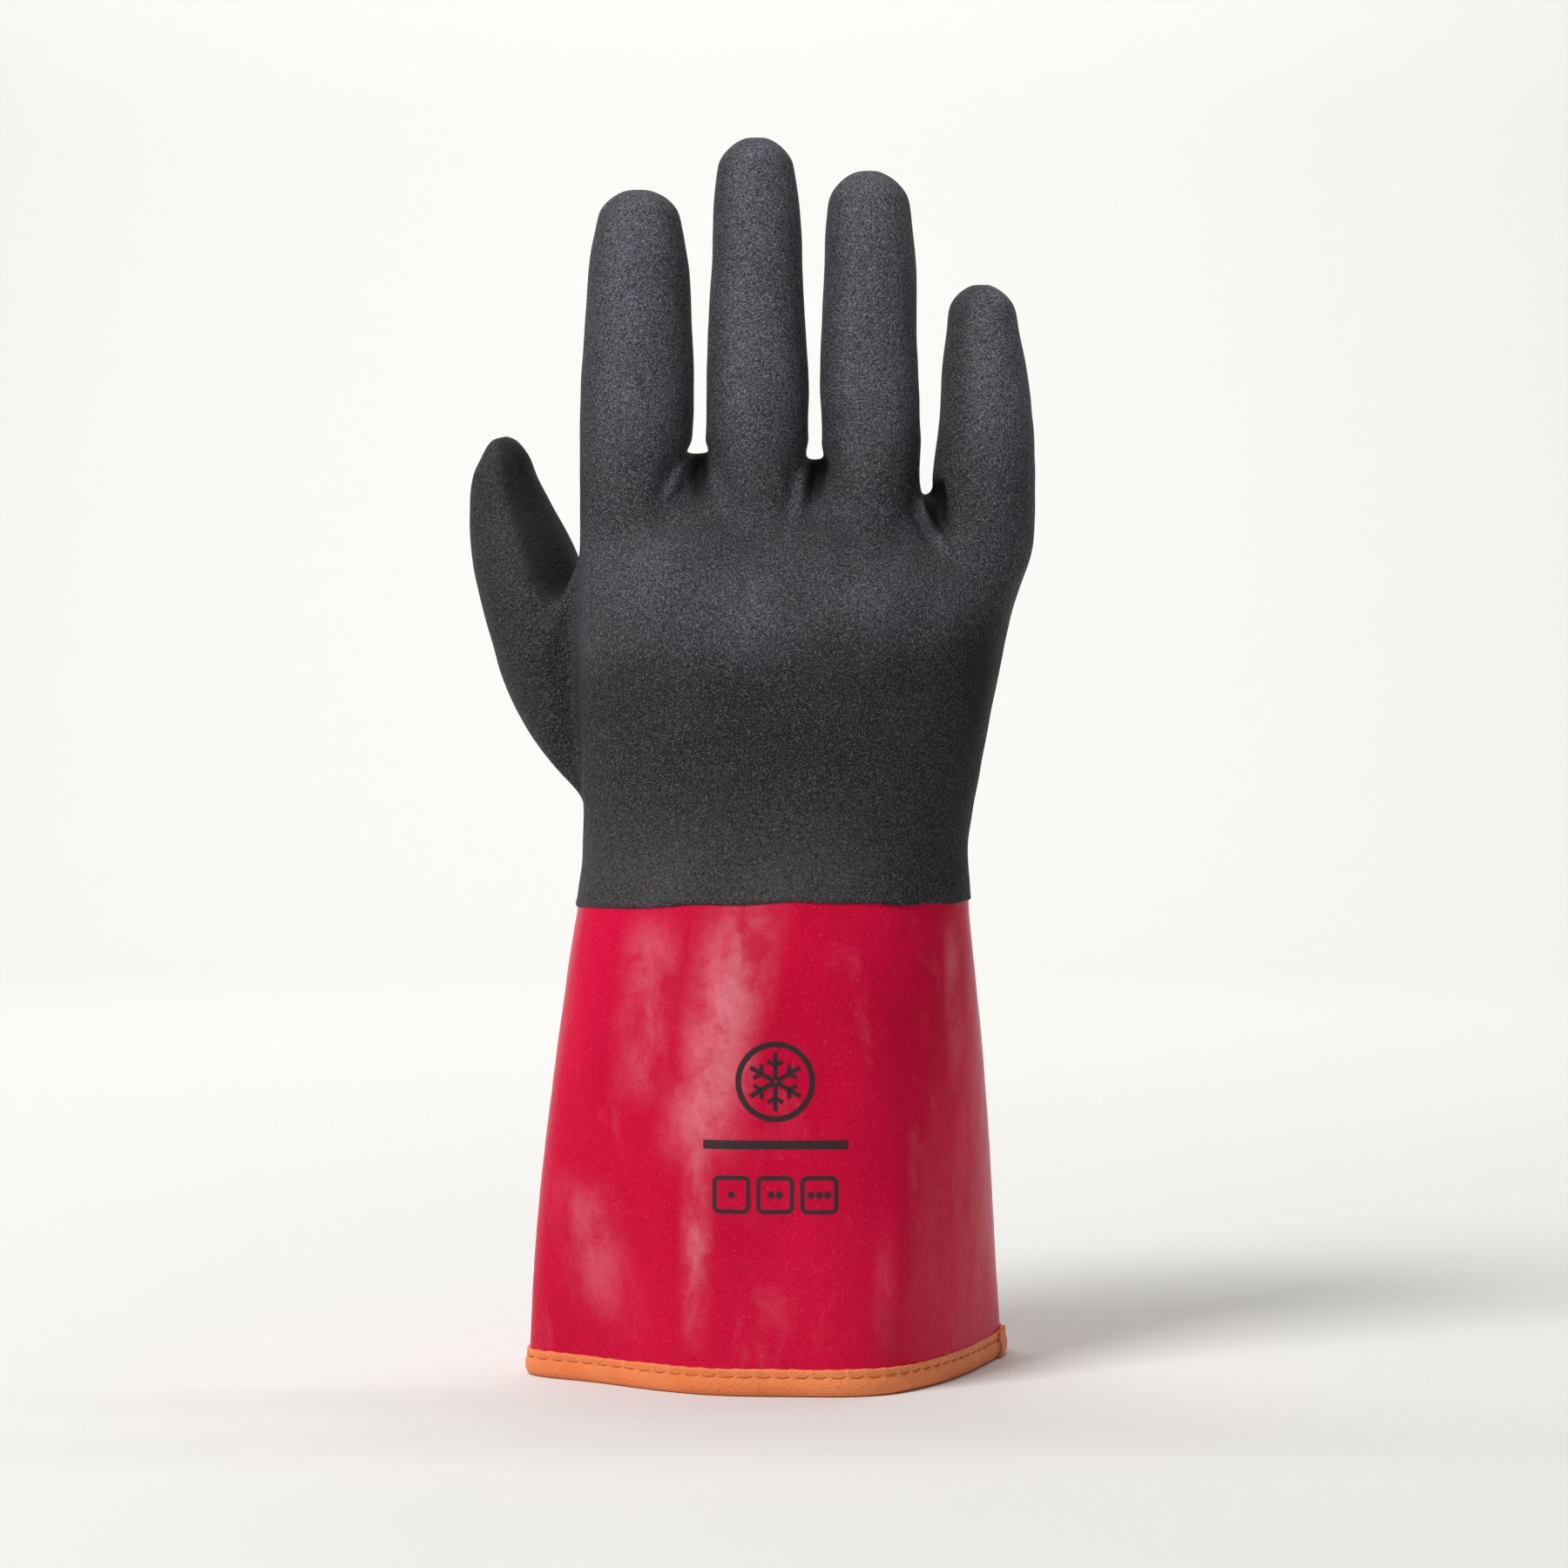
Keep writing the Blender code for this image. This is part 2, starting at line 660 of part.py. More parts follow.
build()
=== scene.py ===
import math

import bmesh
import bpy
import numpy as np
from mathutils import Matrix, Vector, noise
from mathutils.bvhtree import BVHTree


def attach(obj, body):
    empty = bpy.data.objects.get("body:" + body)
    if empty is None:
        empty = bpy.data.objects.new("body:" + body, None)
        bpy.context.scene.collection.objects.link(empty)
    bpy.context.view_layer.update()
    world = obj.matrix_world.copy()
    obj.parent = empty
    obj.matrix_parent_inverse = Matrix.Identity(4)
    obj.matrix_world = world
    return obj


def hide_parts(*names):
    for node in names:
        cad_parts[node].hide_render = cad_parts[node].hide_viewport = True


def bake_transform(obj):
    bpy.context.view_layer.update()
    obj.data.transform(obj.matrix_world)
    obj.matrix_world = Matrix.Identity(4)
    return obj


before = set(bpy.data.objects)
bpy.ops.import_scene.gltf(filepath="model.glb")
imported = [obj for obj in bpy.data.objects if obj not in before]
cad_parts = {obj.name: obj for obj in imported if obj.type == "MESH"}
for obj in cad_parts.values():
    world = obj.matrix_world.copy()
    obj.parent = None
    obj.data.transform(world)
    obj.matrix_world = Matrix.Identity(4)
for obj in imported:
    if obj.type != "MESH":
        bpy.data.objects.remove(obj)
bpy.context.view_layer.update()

# The glove's outer surface. Lengths in the tables are millimetres from the hem's centre; MM turns them into
# metres, and HEM_CENTRE places them in the row frame.
MM = 0.001
HEM_CENTRE = np.array((4.835, 0.0, 0.0))
SURFACE_LEVEL = 3
LINER_LEVEL = 2
LINER_DEPTH = 2.7
FIT_ROUNDS = 5
FIT_STEP = 0.9

# The tube from hem to knuckles: height, left side, right side, back (-Y), palm (+Y), squareness.
SECTIONS = (
    (0.0, -57.2, 58.6, -43.0, 43.0, 2.1),
    (34.0, -55.5, 56.2, -40.2, 40.2, 2.1),
    (65.0, -52.3, 54.0, -37.3, 37.6, 2.1),
    (97.0, -48.3, 50.8, -33.6, 34.4, 2.15),
    (113.0, -45.7, 49.2, -31.2, 32.0, 2.2),
    (128.0, -44.5, 49.0, -29.3, 30.0, 2.2),
    (150.0, -45.6, 52.6, -29.5, 27.0, 2.3),
    (163.0, -46.2, 55.2, -30.1, 25.2, 2.4),
    (174.0, -46.4, 57.5, -29.9, 23.3, 2.4),
    (186.0, -46.2, 60.3, -26.6, 20.8, 2.4),
    (204.0, -45.2, 63.9, -20.2, 16.5, 2.4),
    (222.0, -45.0, 64.8, -14.0, 11.5, 2.4),
)

# The hem is turned on its corner: its sides lie off the middle plane, and its depth to the back and to the
# palm changes across it. Rows run from the left side, -1, to the right side, 1.
HEM_TURN = ((-1.0, -9.0), (1.0, 25.0))
HEM_BACK = (
    (-1.0, 20.0), (-0.76, 25.5), (-0.47, 38.5), (-0.24, 46.5), (0.1, 54.0),
    (0.43, 63.0), (0.57, 63.5), (0.78, 58.0), (1.0, 40.0),
)
HEM_PALM = ((-1.0, 38.0), (-0.5, 41.0), (0.0, 36.0), (0.5, 30.0), (1.0, 24.0))
HEM_TURN_TOP = 116.0
COAT_EDGE_Z = 113.4
COAT_EDGE_DIP = 1.7
COAT_EDGE_ROWS = ((0.0, "cuff"), (1.2, "edge"), (4.0, "wrist"))
LOWER_CREASE_Z = 123.5
SEAM_Z = 130.0
CUFF_ROWS = (1.0, 9.0, 20.0, 34.0, 50.0, 66.0, 82.0, 97.0, 108.0)
PALM_ROWS = (0.0, 0.1, 0.25, 0.42, 0.59, 0.76, 0.88, 1.0)
THUMB_ROWS = (1, 5)
ROOT_BLEND_FROM = 0.72
TURN_BLEND_TO = 0.7

ARC_STEPS = 3
SIDE_STEPS = 2
CORNER = 40.0
HALF_SIDE = SIDE_STEPS // 2
RIGHT_CORNER = HALF_SIDE + ARC_STEPS
PALM_RIGHT = RIGHT_CORNER + SIDE_STEPS
PALM_LEFT = PALM_RIGHT + ARC_STEPS
RING = 2 * (ARC_STEPS + SIDE_STEPS)

# Finger: web heights at its left and right, knuckle crease, middle crease, tip, then its outline as
# (height, left side, right side) rows.
FINGERS = {
    "index": (
        218.0, 222.0, 228.0, 252.0, 286.9,
        ((218, -45.2, -19.4), (228, -45.2, -18.3), (240, -44.8, -17.9), (252, -44.1, -18.3),
         (262, -43.6, -19.0), (271, -42.7, -19.8), (278, -41.4, -21.0)),
    ),
    "middle": (
        222.0, 221.0, 227.5, 257.5, 299.6,
        ((221, -14.4, 10.1), (228, -14.3, 10.1), (240, -14.2, 10.1), (252, -14.1, 9.3),
         (266, -12.9, 8.7), (279, -12.8, 8.2), (290, -11.9, 7.0)),
    ),
    "ring": (
        221.0, 213.0, 227.0, 253.0, 291.2,
        ((217, 13.4, 37.5), (228, 13.5, 37.2), (240, 13.2, 36.9), (252, 13.5, 36.4),
         (262, 14.0, 36.2), (272, 14.3, 36.0), (281, 15.0, 35.0)),
    ),
    "little": (
        213.0, 208.0, 219.0, 238.5, 263.5,
        ((210, 39.8, 65.2), (218, 40.6, 65.1), (228, 41.8, 64.7), (238, 42.6, 63.8),
         (246, 43.2, 62.5), (254, 44.2, 60.8)),
    ),
}
FINGER_DEPTH = 0.93
FINGER_ROOT_Y = -1.2
FINGER_CURL = 5.0
WEB_RISE = 2.6
CREASE_HALF = 1.5
TIP_ROWS = (0.35, 0.7)
DOME_ROWS = (0.45, 0.8)
CAP_SIZE = 0.5
CAP_SINK = 0.4
ROOT_DROP_BACK = 9.0
ROOT_DROP_PALM = 3.0

# Thumb stations: centre, tilt of the ring's wide axis from +X towards +Z in degrees, half sizes along and
# across it.
THUMB = (
    (-52.6, 16.5, 174.5, 58.0, 16.6, 15.5),
    (-59.3, 23.0, 192.5, 36.0, 13.6, 13.8),
    (-63.5, 27.5, 206.0, 18.0, 11.2, 11.6),
    (-65.9, 29.5, 217.6, 8.0, 8.3, 9.2),
)
THUMB_TIP = Vector((-66.4, 31.0, 228.7))
THUMB_CREASE = 1.45
THUMB_SOCKET_ROW = 0.05
THUMB_SEAM = 0.75
THUMB_TIP_ROWS = (1.4, 2.1, 3.0)
# Rings of the thumb's dome: share of the way to the tip, size. The last one is the cap.
THUMB_DOME = ((0.45, 0.78), (0.8, 0.5), (0.965, 0.23))
THUMB_SOCKET_BULGE = 3.0


def mix(a, b, share):
    return a + (b - a) * share


def smoothstep(x):
    x = min(max(x, 0.0), 1.0)
    return x * x * (3 - 2 * x)


def lookup(rows, at):
    """The values of a table at a place between its rows, on a smooth cubic through the rows."""
    at = min(max(at, rows[0][0]), rows[-1][0])
    row = max(i for i in range(len(rows) - 1) if rows[i][0] <= at)
    low, high = rows[row], rows[row + 1]
    before, after = rows[max(row - 1, 0)], rows[min(row + 2, len(rows) - 1)]
    step = high[0] - low[0]
    t = (at - low[0]) / step
    values = []
    for k in range(1, len(low)):
        m0 = (high[k] - before[k]) / (high[0] - before[0]) * step
        m1 = (after[k] - low[k]) / (after[0] - low[0]) * step
        rise = high[k] - low[k]
        values.append(low[k] + m0 * t + (3 * rise - 2 * m0 - m1) * t**2 + (m0 + m1 - 2 * rise) * t**3)
    return values


def ring_angles():
    """Angles round a finger, from its left flank over its back and home over its palm side."""
    spans = (
        (180, 180 + CORNER, HALF_SIDE),
        (180 + CORNER, 360 - CORNER, ARC_STEPS),
        (360 - CORNER, 360 + CORNER, SIDE_STEPS),
        (360 + CORNER, 540 - CORNER, ARC_STEPS),
        (540 - CORNER, 540, HALF_SIDE),
    )
    return [math.radians(mix(a, b, i / n)) for a, b, n in spans for i in range(n)]


def finger_place(finger, z):
    """Centre and half width of a finger at a height."""
    left_web, right_web, _, _, tip_z, outline = FINGERS[finger]
    root_z = (left_web + right_web) / 2
    left, right = lookup(outline, z)
    half = (right - left) / 2
    share = (z - root_z) / (tip_z - root_z)
    dome = tip_z - outline[-1][0]
    into = min(max(0.0, (z - outline[-1][0]) / dome), 1.0)
    half *= math.sqrt(1 - into**2) if into else 1.0
    return Vector(((left + right) / 2, FINGER_ROOT_Y + FINGER_CURL * share**2, z)), half


def finger_ring(finger, z):
    centre, half = finger_place(finger, z)
    return [
        centre + Vector((half * math.cos(a), half * FINGER_DEPTH * math.sin(a), 0)) for a in ring_angles()
    ]


def root_ring(finger):
    """The finger's lowest ring: high at the webs, and lower over its back and its palm side."""
    left_web, right_web = FINGERS[finger][:2]
    points = finger_ring(finger, (left_web + right_web) / 2)
    for point, angle in zip(points, ring_angles()):
        web = mix(left_web, right_web, (math.cos(angle) + 1) / 2)
        drop = ROOT_DROP_BACK if math.sin(angle) < 0 else ROOT_DROP_PALM
        point.z = web - drop * abs(math.sin(angle))
    return points


def palm_columns():
    """The outline of the four finger roots as (finger number, ring place), once round the hand."""
    columns = [(0, i) for i in range(RIGHT_CORNER + 1)]
    for finger in (1, 2):
        columns += [(finger, i) for i in range(HALF_SIDE, RIGHT_CORNER + 1)]
    columns += [(3, i) for i in range(HALF_SIDE, PALM_LEFT + 1)]
    for finger in (2, 1):
        columns += [(finger, i) for i in range(PALM_RIGHT, PALM_LEFT + 1)]
    columns += [(0, i) for i in range(PALM_RIGHT, RING)]
    return columns


def section_point(turn, z):
    """The tube's point at an angle round it: 0 is the left side, pi / 2 the back, pi the right side."""
    left, right, back, palm, squareness = lookup(SECTIONS, z)
    power = 2 / squareness
    across = -math.copysign(abs(math.cos(turn)) ** power, math.cos(turn))
    rise = abs(math.sin(turn)) ** power
    if math.sin(turn) > 0:
        upright, turned = back * rise, -lookup(HEM_BACK, across)[0] * rise
    else:
        upright, turned = palm * rise, lookup(HEM_PALM, across)[0] * rise
    turned += lookup(HEM_TURN, across)[0]
    share = max(0.0, 1 - z / HEM_TURN_TOP)
    return Vector(((left + right) / 2 + across * (right - left) / 2, mix(upright, turned, share), z))


def hand_columns():
    """For each column round the hand: its even turn, the turn below its finger root, and its root point."""
    roots = [root_ring(finger) for finger in FINGERS]
    top_left, top_right = SECTIONS[-1][1:3]
    squareness = SECTIONS[-1][5]
    middle, half = (top_left + top_right) / 2, (top_right - top_left) / 2
    places = palm_columns()
    n = len(places)
    columns = []
    for i, (finger, place) in enumerate(places):
        root = roots[finger][place]
        across = min(max((root.x - middle) / half, -1.0), 1.0)
        turn = math.acos(-math.copysign(abs(across) ** (squareness / 2), across))
        if i > n // 2:
            turn = 2 * math.pi - turn
        columns.append((2 * math.pi * i / n, turn, root))
    return columns


def coat_edge_z(point):
    """The black coat's lower edge at a point of the tube: it dips towards the thumb side and wavers."""
    x, y = point[0], point[1]
    dip = -COAT_EDGE_DIP * smoothstep((-x - 12) / 36)
    waver = 0.35 * math.sin(x * 0.11 + 0.6) + 0.2 * math.sin(x * 0.31 + y * 0.2)
    return COAT_EDGE_Z + dip + waver


class Cage:
    """Points, and faces that each carry the name of their region."""

    def __init__(self):
        self.points = []
        self.faces = []

    def row(self, points):
        first = len(self.points)
        self.points += [Vector(p) for p in points]
        return list(range(first, len(self.points)))

    def band(self, low, high, region):
        n = len(low)
        for i in range(n):
            j = (i + 1) % n
            self.faces.append(((low[i], low[j], high[j], high[i]), region))


def add_tube(cage, columns):
    """The cuff and wrist. The black coat starts at the row between "cuff" and "edge"."""

    def level(z):
        return cage.row([section_point(c[0], z) for c in columns])

    def along_edge(rise):
        points = []
        for c in columns:
            edge = section_point(c[0], COAT_EDGE_Z)
            points.append(section_point(c[0], coat_edge_z(edge) + rise))
        return cage.row(points)

    rows = [(level(z), "cuff") for z in CUFF_ROWS]
    rows += [(along_edge(rise), region) for rise, region in COAT_EDGE_ROWS]
    rows += [(level(z), "wrist") for z in (LOWER_CREASE_Z, SEAM_Z)]
    for (low, _), (high, region) in zip(rows, rows[1:]):
        cage.band(low, high, region)
    return rows[-1][0]


def add_palm(cage, columns, wrist_row):
    """The hand up to the finger roots. Returns the root rings, and the loop round the thumb's socket."""
    rows = [wrist_row]
    for share in PALM_ROWS[1:]:
        points = []
        for even, turn, root in columns:
            z = mix(SEAM_Z, root.z, share)
            tube = section_point(mix(even, turn, smoothstep(share / TURN_BLEND_TO)), z)
            to_root = smoothstep((share - ROOT_BLEND_FROM) / (1 - ROOT_BLEND_FROM))
            points.append(Vector((mix(tube.x, root.x, to_root), mix(tube.y, root.y, to_root), z)))
        rows.append(cage.row(points))
    n = len(columns)
    socket = HALF_SIDE + ARC_STEPS
    low, high = THUMB_ROWS
    for r in range(len(rows) - 1):
        for i in range(n):
            if low <= r < high and i >= n - socket:
                continue
            j = (i + 1) % n
            cage.faces.append(((rows[r][i], rows[r][j], rows[r + 1][j], rows[r + 1][i]), "hand"))
    across = [0] + [n - k for k in range(1, socket + 1)]
    loop = [rows[high][i] for i in across[:-1]]
    loop += [rows[r][across[-1]] for r in range(high, low, -1)]
    loop += [rows[low][i] for i in reversed(across[1:])]
    loop += [rows[r][0] for r in range(low, high)]
    rings = [[None] * RING for _ in FINGERS]
    for index, (finger, place) in zip(rows[-1], palm_columns()):
        rings[finger][place] = index
    return rings, loop


def add_webs(cage, rings):
    for ring, finger in zip(rings, FINGERS):
        points = root_ring(finger)
        for place in range(RING):
            if ring[place] is None:
                (ring[place],) = cage.row([points[place]])
    for left, right in zip(rings, rings[1:]):
        left_side = [left[i] for i in range(RIGHT_CORNER, PALM_RIGHT + 1)]
        right_side = [right[i % RING] for i in range(HALF_SIDE + RING, PALM_LEFT - 1, -1)]
        for k in range(SIDE_STEPS):
            face = (left_side[k], right_side[k], right_side[k + 1], left_side[k + 1])
            cage.faces.append((face, "hand"))


def cap(cage, ring, inner_points, region):
    """Closes a ring of even length with a small inner ring and a grid of quads across it."""
    inner = cage.row(inner_points)
    cage.band(ring, inner, region)
    n = len(inner)
    half = n // 2
    for k in range(half - 1):
        cage.faces.append(((inner[k], inner[k + 1], inner[n - 2 - k], inner[n - 1 - k]), region))


def add_finger(cage, finger, ring):
    left_web, right_web, knuckle, middle, tip_z, outline = FINGERS[finger]
    dome_z = outline[-1][0]
    seam = (knuckle + middle) / 2
    root_rows = (max(left_web, right_web) + WEB_RISE, knuckle + CREASE_HALF, seam)
    stations = [(z, "root") for z in root_rows] + [(middle - CREASE_HALF, "tip")]
    stations += [(mix(middle, dome_z, share), "tip") for share in TIP_ROWS]
    stations.append((dome_z, "tip"))
    stations += [(mix(dome_z, tip_z, share), "tip") for share in DOME_ROWS]
    for z, part in stations:
        above = cage.row(finger_ring(finger, z))
        cage.band(ring, above, f"{finger}_{part}")
        ring = above
    centre, _ = finger_place(finger, tip_z)
    rim = [cage.points[i] for i in ring]
    inner = [centre.lerp(Vector((p.x, p.y, tip_z)), CAP_SIZE) - Vector((0, 0, CAP_SINK)) for p in rim]
    cap(cage, ring, inner, f"{finger}_tip")


def thumb_frame(station):
    rows = [(float(i), *row) for i, row in enumerate(THUMB)]
    x, y, z, tilt, half_wide, half_deep = lookup(rows, station)
    ahead = Vector(lookup(rows, min(station + 0.05, len(THUMB) - 1))[:3])
    behind = Vector(lookup(rows, max(station - 0.05, 0))[:3])
    wide = Vector((math.cos(math.radians(tilt)), 0, math.sin(math.radians(tilt))))
    along = ahead - behind
    along = (along - along.dot(wide) * wide).normalized()
    return Vector((x, y, z)), wide, along, half_wide, half_deep


def thumb_ring(station, count):
    centre, wide, along, half_wide, half_deep = thumb_frame(station)
    pad = along.cross(wide)
    points = []
    for i in range(count):
        angle = 2 * math.pi * i / count - math.pi / 4
        points.append(centre + wide * (half_wide * math.cos(angle)) + pad * (half_deep * math.sin(angle)))
    return points


def add_thumb(cage, loop):
    count = len(loop)
    centre = thumb_frame(0.0)[0]
    socket = []
    for index, point in zip(loop, thumb_ring(0.0, count)):
        halfway = (cage.points[index] + point) / 2
        outward = (halfway - centre).normalized()
        socket.append(halfway + outward * (THUMB_SOCKET_BULGE * max(0.0, -outward.z)))
    rings = [(socket, "thumb_root")]
    rings += [(thumb_ring(station, count), "thumb_root") for station in (THUMB_SOCKET_ROW, THUMB_SEAM)]
    rings += [(thumb_ring(station, count), "thumb_tip") for station in THUMB_TIP_ROWS]
    last = rings[-1][0]
    dome_centre = thumb_frame(len(THUMB) - 1)[0]
    for share, size in THUMB_DOME:
        middle = dome_centre.lerp(THUMB_TIP, share)
        rings.append(([middle + (p - dome_centre) * size for p in last], "thumb_tip"))
    for points, region in rings[:-1]:
        row = cage.row(points)
        cage.band(loop, row, region)
        loop = row
    cap(cage, loop, *rings[-1])


def glove_cage():
    cage = Cage()
    columns = hand_columns()
    wrist_row = add_tube(cage, columns)
    rings, loop = add_palm(cage, columns, wrist_row)
    add_webs(cage, rings)
    for finger, ring in zip(FINGERS, rings):
        add_finger(cage, finger, ring)
    add_thumb(cage, loop)
    return cage


def new_object(name, data, material=None):
    if material is not None:
        data.materials.append(material)
    obj = bpy.data.objects.new(name, data)
    bpy.context.scene.collection.objects.link(obj)
    return obj


def evaluated_mesh(obj):
    graph = bpy.context.evaluated_depsgraph_get()
    graph.update()
    return obj.evaluated_get(graph)


def subdivided(cage, regions, levels):
    """Points, quads and face regions of the smooth surface that passes through the cage's points."""
    mesh = bpy.data.meshes.new("cage")
    targets = np.array([tuple(p) for p in cage.points])
    bm = bmesh.new()
    points = [bm.verts.new(p) for p in cage.points]
    for corners, region in cage.faces:
        bm.faces.new([points[i] for i in corners]).material_index = regions.index(region)
    bmesh.ops.recalc_face_normals(bm, faces=bm.faces)
    bm.to_mesh(mesh)
    bm.free()
    obj = new_object("cage", mesh)
    modifier = obj.modifiers.new("Smooth", "SUBSURF")
    modifier.use_limit_surface = True
    modifier.levels = 1
    modifier.render_levels = 1
    control = targets.copy()
    for _ in range(FIT_ROUNDS):
        shown = evaluated_mesh(obj)
        limit = read_points(shown.data)[: len(control)]
        control += (targets - limit) * FIT_STEP
        mesh.vertices.foreach_set("co", control.astype(np.float32).ravel())
        mesh.update()
        obj.update_tag()
    modifier.levels = levels
    modifier.render_levels = levels
    shown = evaluated_mesh(obj)
    places = read_points(shown.data)
    count = len(shown.data.polygons)
    corners = np.empty(len(shown.data.loops), np.int32)
    shown.data.loops.foreach_get("vertex_index", corners)
    region = np.empty(count, np.int32)
    shown.data.polygons.foreach_get("material_index", region)
    quads = corners.reshape(count, 4)
    bpy.data.objects.remove(obj)
    bpy.data.meshes.remove(mesh)
    return places, quads, region


def read_points(mesh):
    co = np.empty(len(mesh.vertices) * 3, np.float32)
    mesh.vertices.foreach_get("co", co)
    return co.reshape(-1, 3).astype(float)


def make_mesh(name, places, faces):
    mesh = bpy.data.meshes.new(name)
    mesh.from_pydata(places.tolist(), [], faces.tolist() if hasattr(faces, "tolist") else faces)
    mesh.update()
    return mesh


def vertex_normals(places, quads):
    """Area-weighted vertex normals of a quad surface."""
    a, b, c, d = (places[quads[:, k]] for k in range(4))
    face = np.cross(c - a, d - b)
    total = np.zeros_like(places)
    for k in range(4):
        np.add.at(total, quads[:, k], face)
    return total / np.maximum(np.linalg.norm(total, axis=1, keepdims=True), 1e-12)


def bell(x, width):
    return np.exp(-((x / width) ** 2))


def noise_at(places, scale, seed):
    """Smooth noise from -1 to 1 at each place, with features about this many millimetres across."""
    offset = Vector((seed * 17.3, seed * 5.1, seed * 9.7))
    return np.array([noise.noise(Vector(p) / scale + offset) for p in places])


def smooth_between(x, low, high):
    t = np.clip((x - low) / (high - low), 0, 1)
    return t * t * (3 - 2 * t)


# Crotch between two fingers: x, height of its lowest point, how far right of it the hollow below it lies.
CROTCHES = ((-17.0, 221.5, 0.8), (11.7, 220.5, 0.8), (38.7, 212.5, 2.2))
# Knuckle: x, height, how far it swells.
KNUCKLES = ((-27.0, 190.0, 0.9), (-1.5, 180.0, 1.2), (24.5, 184.0, 1.1), (45.0, 184.0, 0.8))
# Fold pulled down from a crotch: x and height of its upper end, x and height of its lower end, how proud.
FOLDS = (
    (-19.8, 220.0, -24.5, 209.0, 0.6),
    (-14.6, 217.0, -9.0, 206.0, 0.35),
    (9.6, 219.0, 7.0, 204.0, 0.5),
    (13.4, 217.0, 13.6, 205.0, 0.55),
    (37.2, 211.0, 41.0, 199.5, 1.0),
    (39.6, 206.5, 44.0, 195.5, 0.8),
)
# Edge between the thumb's back and its inner face: height, x.
THUMB_RIDGE = ((179.0, -51.3), (189.0, -58.9), (208.0, -65.2), (220.6, -69.0))


CROTCH_DEPTH = 2.8
# How much painted shade, of the deepest, the thumb's inner face and the hand's edge below the little finger
# take.
THUMB_PAINTED_SHADE = 0.62
LITTLE_SIDE_PAINTED_SHADE = 0.55
# Painted light, with some dust, over the hand's upper back and on the fingers; a painted highlight on a
# knuckle and along a fold; how much painted shade near a crotch takes away.
BACK_PAINTED_LIGHT = 0.33
KNUCKLE_PAINTED_HIGHLIGHT = 0.20
FINGER_PAINTED_LIGHT = 0.56
FOLD_PAINTED_HIGHLIGHT = 0.75
CROTCH_SHADE = 0.4
# Unevenness as (how proud, how many millimetres across, seed), on the hand and stretched along the cuff.
HAND_UNEVEN = ((0.35, 19.0, 1), (0.16, 7.0, 2))
CUFF_WAVES = ((0.9, 11.0, 3), (0.35, 5.0, 4))
# The ridge above the hem's corner: where it is at the hem, how it leans, how proud and wide it is.
RIDGE_X, RIDGE_LEAN, RIDGE_RISE, RIDGE_WIDTH = 28.5, 0.09, 1.4, 5.5


def fold_places(x, z):
    """For each fold: how proud it is, how far down it each place lies, and how far beside it."""
    for x0, z0, x1, z1, proud in FOLDS:
        along = (z0 - z) / (z0 - z1)
        yield proud, along, x - mix(x0, x1, np.clip(along, 0, 1))


def crotch_hollow(places):
    """How deep in the hollow below a crotch each place lies, from 0 to 1."""
    x, _, z = places.T
    hollow_and_painted_shade = np.zeros(len(places))
    for cx, cz, shift in CROTCHES:
        narrow = 1.7 + 0.16 * np.clip(cz - z, 0, 14)
        reach = smooth_between(z, cz - 17, cz - 2) * (1 - smooth_between(z, cz, cz + 5))
        hollow_and_painted_shade = np.maximum(hollow_and_painted_shade, bell(x - cx - shift, narrow) * reach)
    return hollow_and_painted_shade


def thumb_inside(places):
    """How far round onto the thumb's inner face each place lies, from 0 to 1."""
    x, y, z = places.T
    ridge = np.interp(z, *np.transpose(THUMB_RIDGE))
    core = np.interp(z, [row[2] for row in THUMB], [row[1] for row in THUMB])
    inside = smooth_between(x - ridge, -1.0, 4.0) * smooth_between(y, 3.0, 8.0)
    inside *= 1 - smooth_between(y - core, -1.0, 7.0)
    return inside * smooth_between(z, 168.0, 182.0) * (1 - smooth_between(x, -49.0, -44.0))


def little_side(places):
    """How far round onto the hand's edge below the little finger each place lies, from 0 to 1."""
    x, _, z = places.T
    return smooth_between(x, 36.0, 54.0) * (1 - smooth_between(z, 165.0, 198.0))


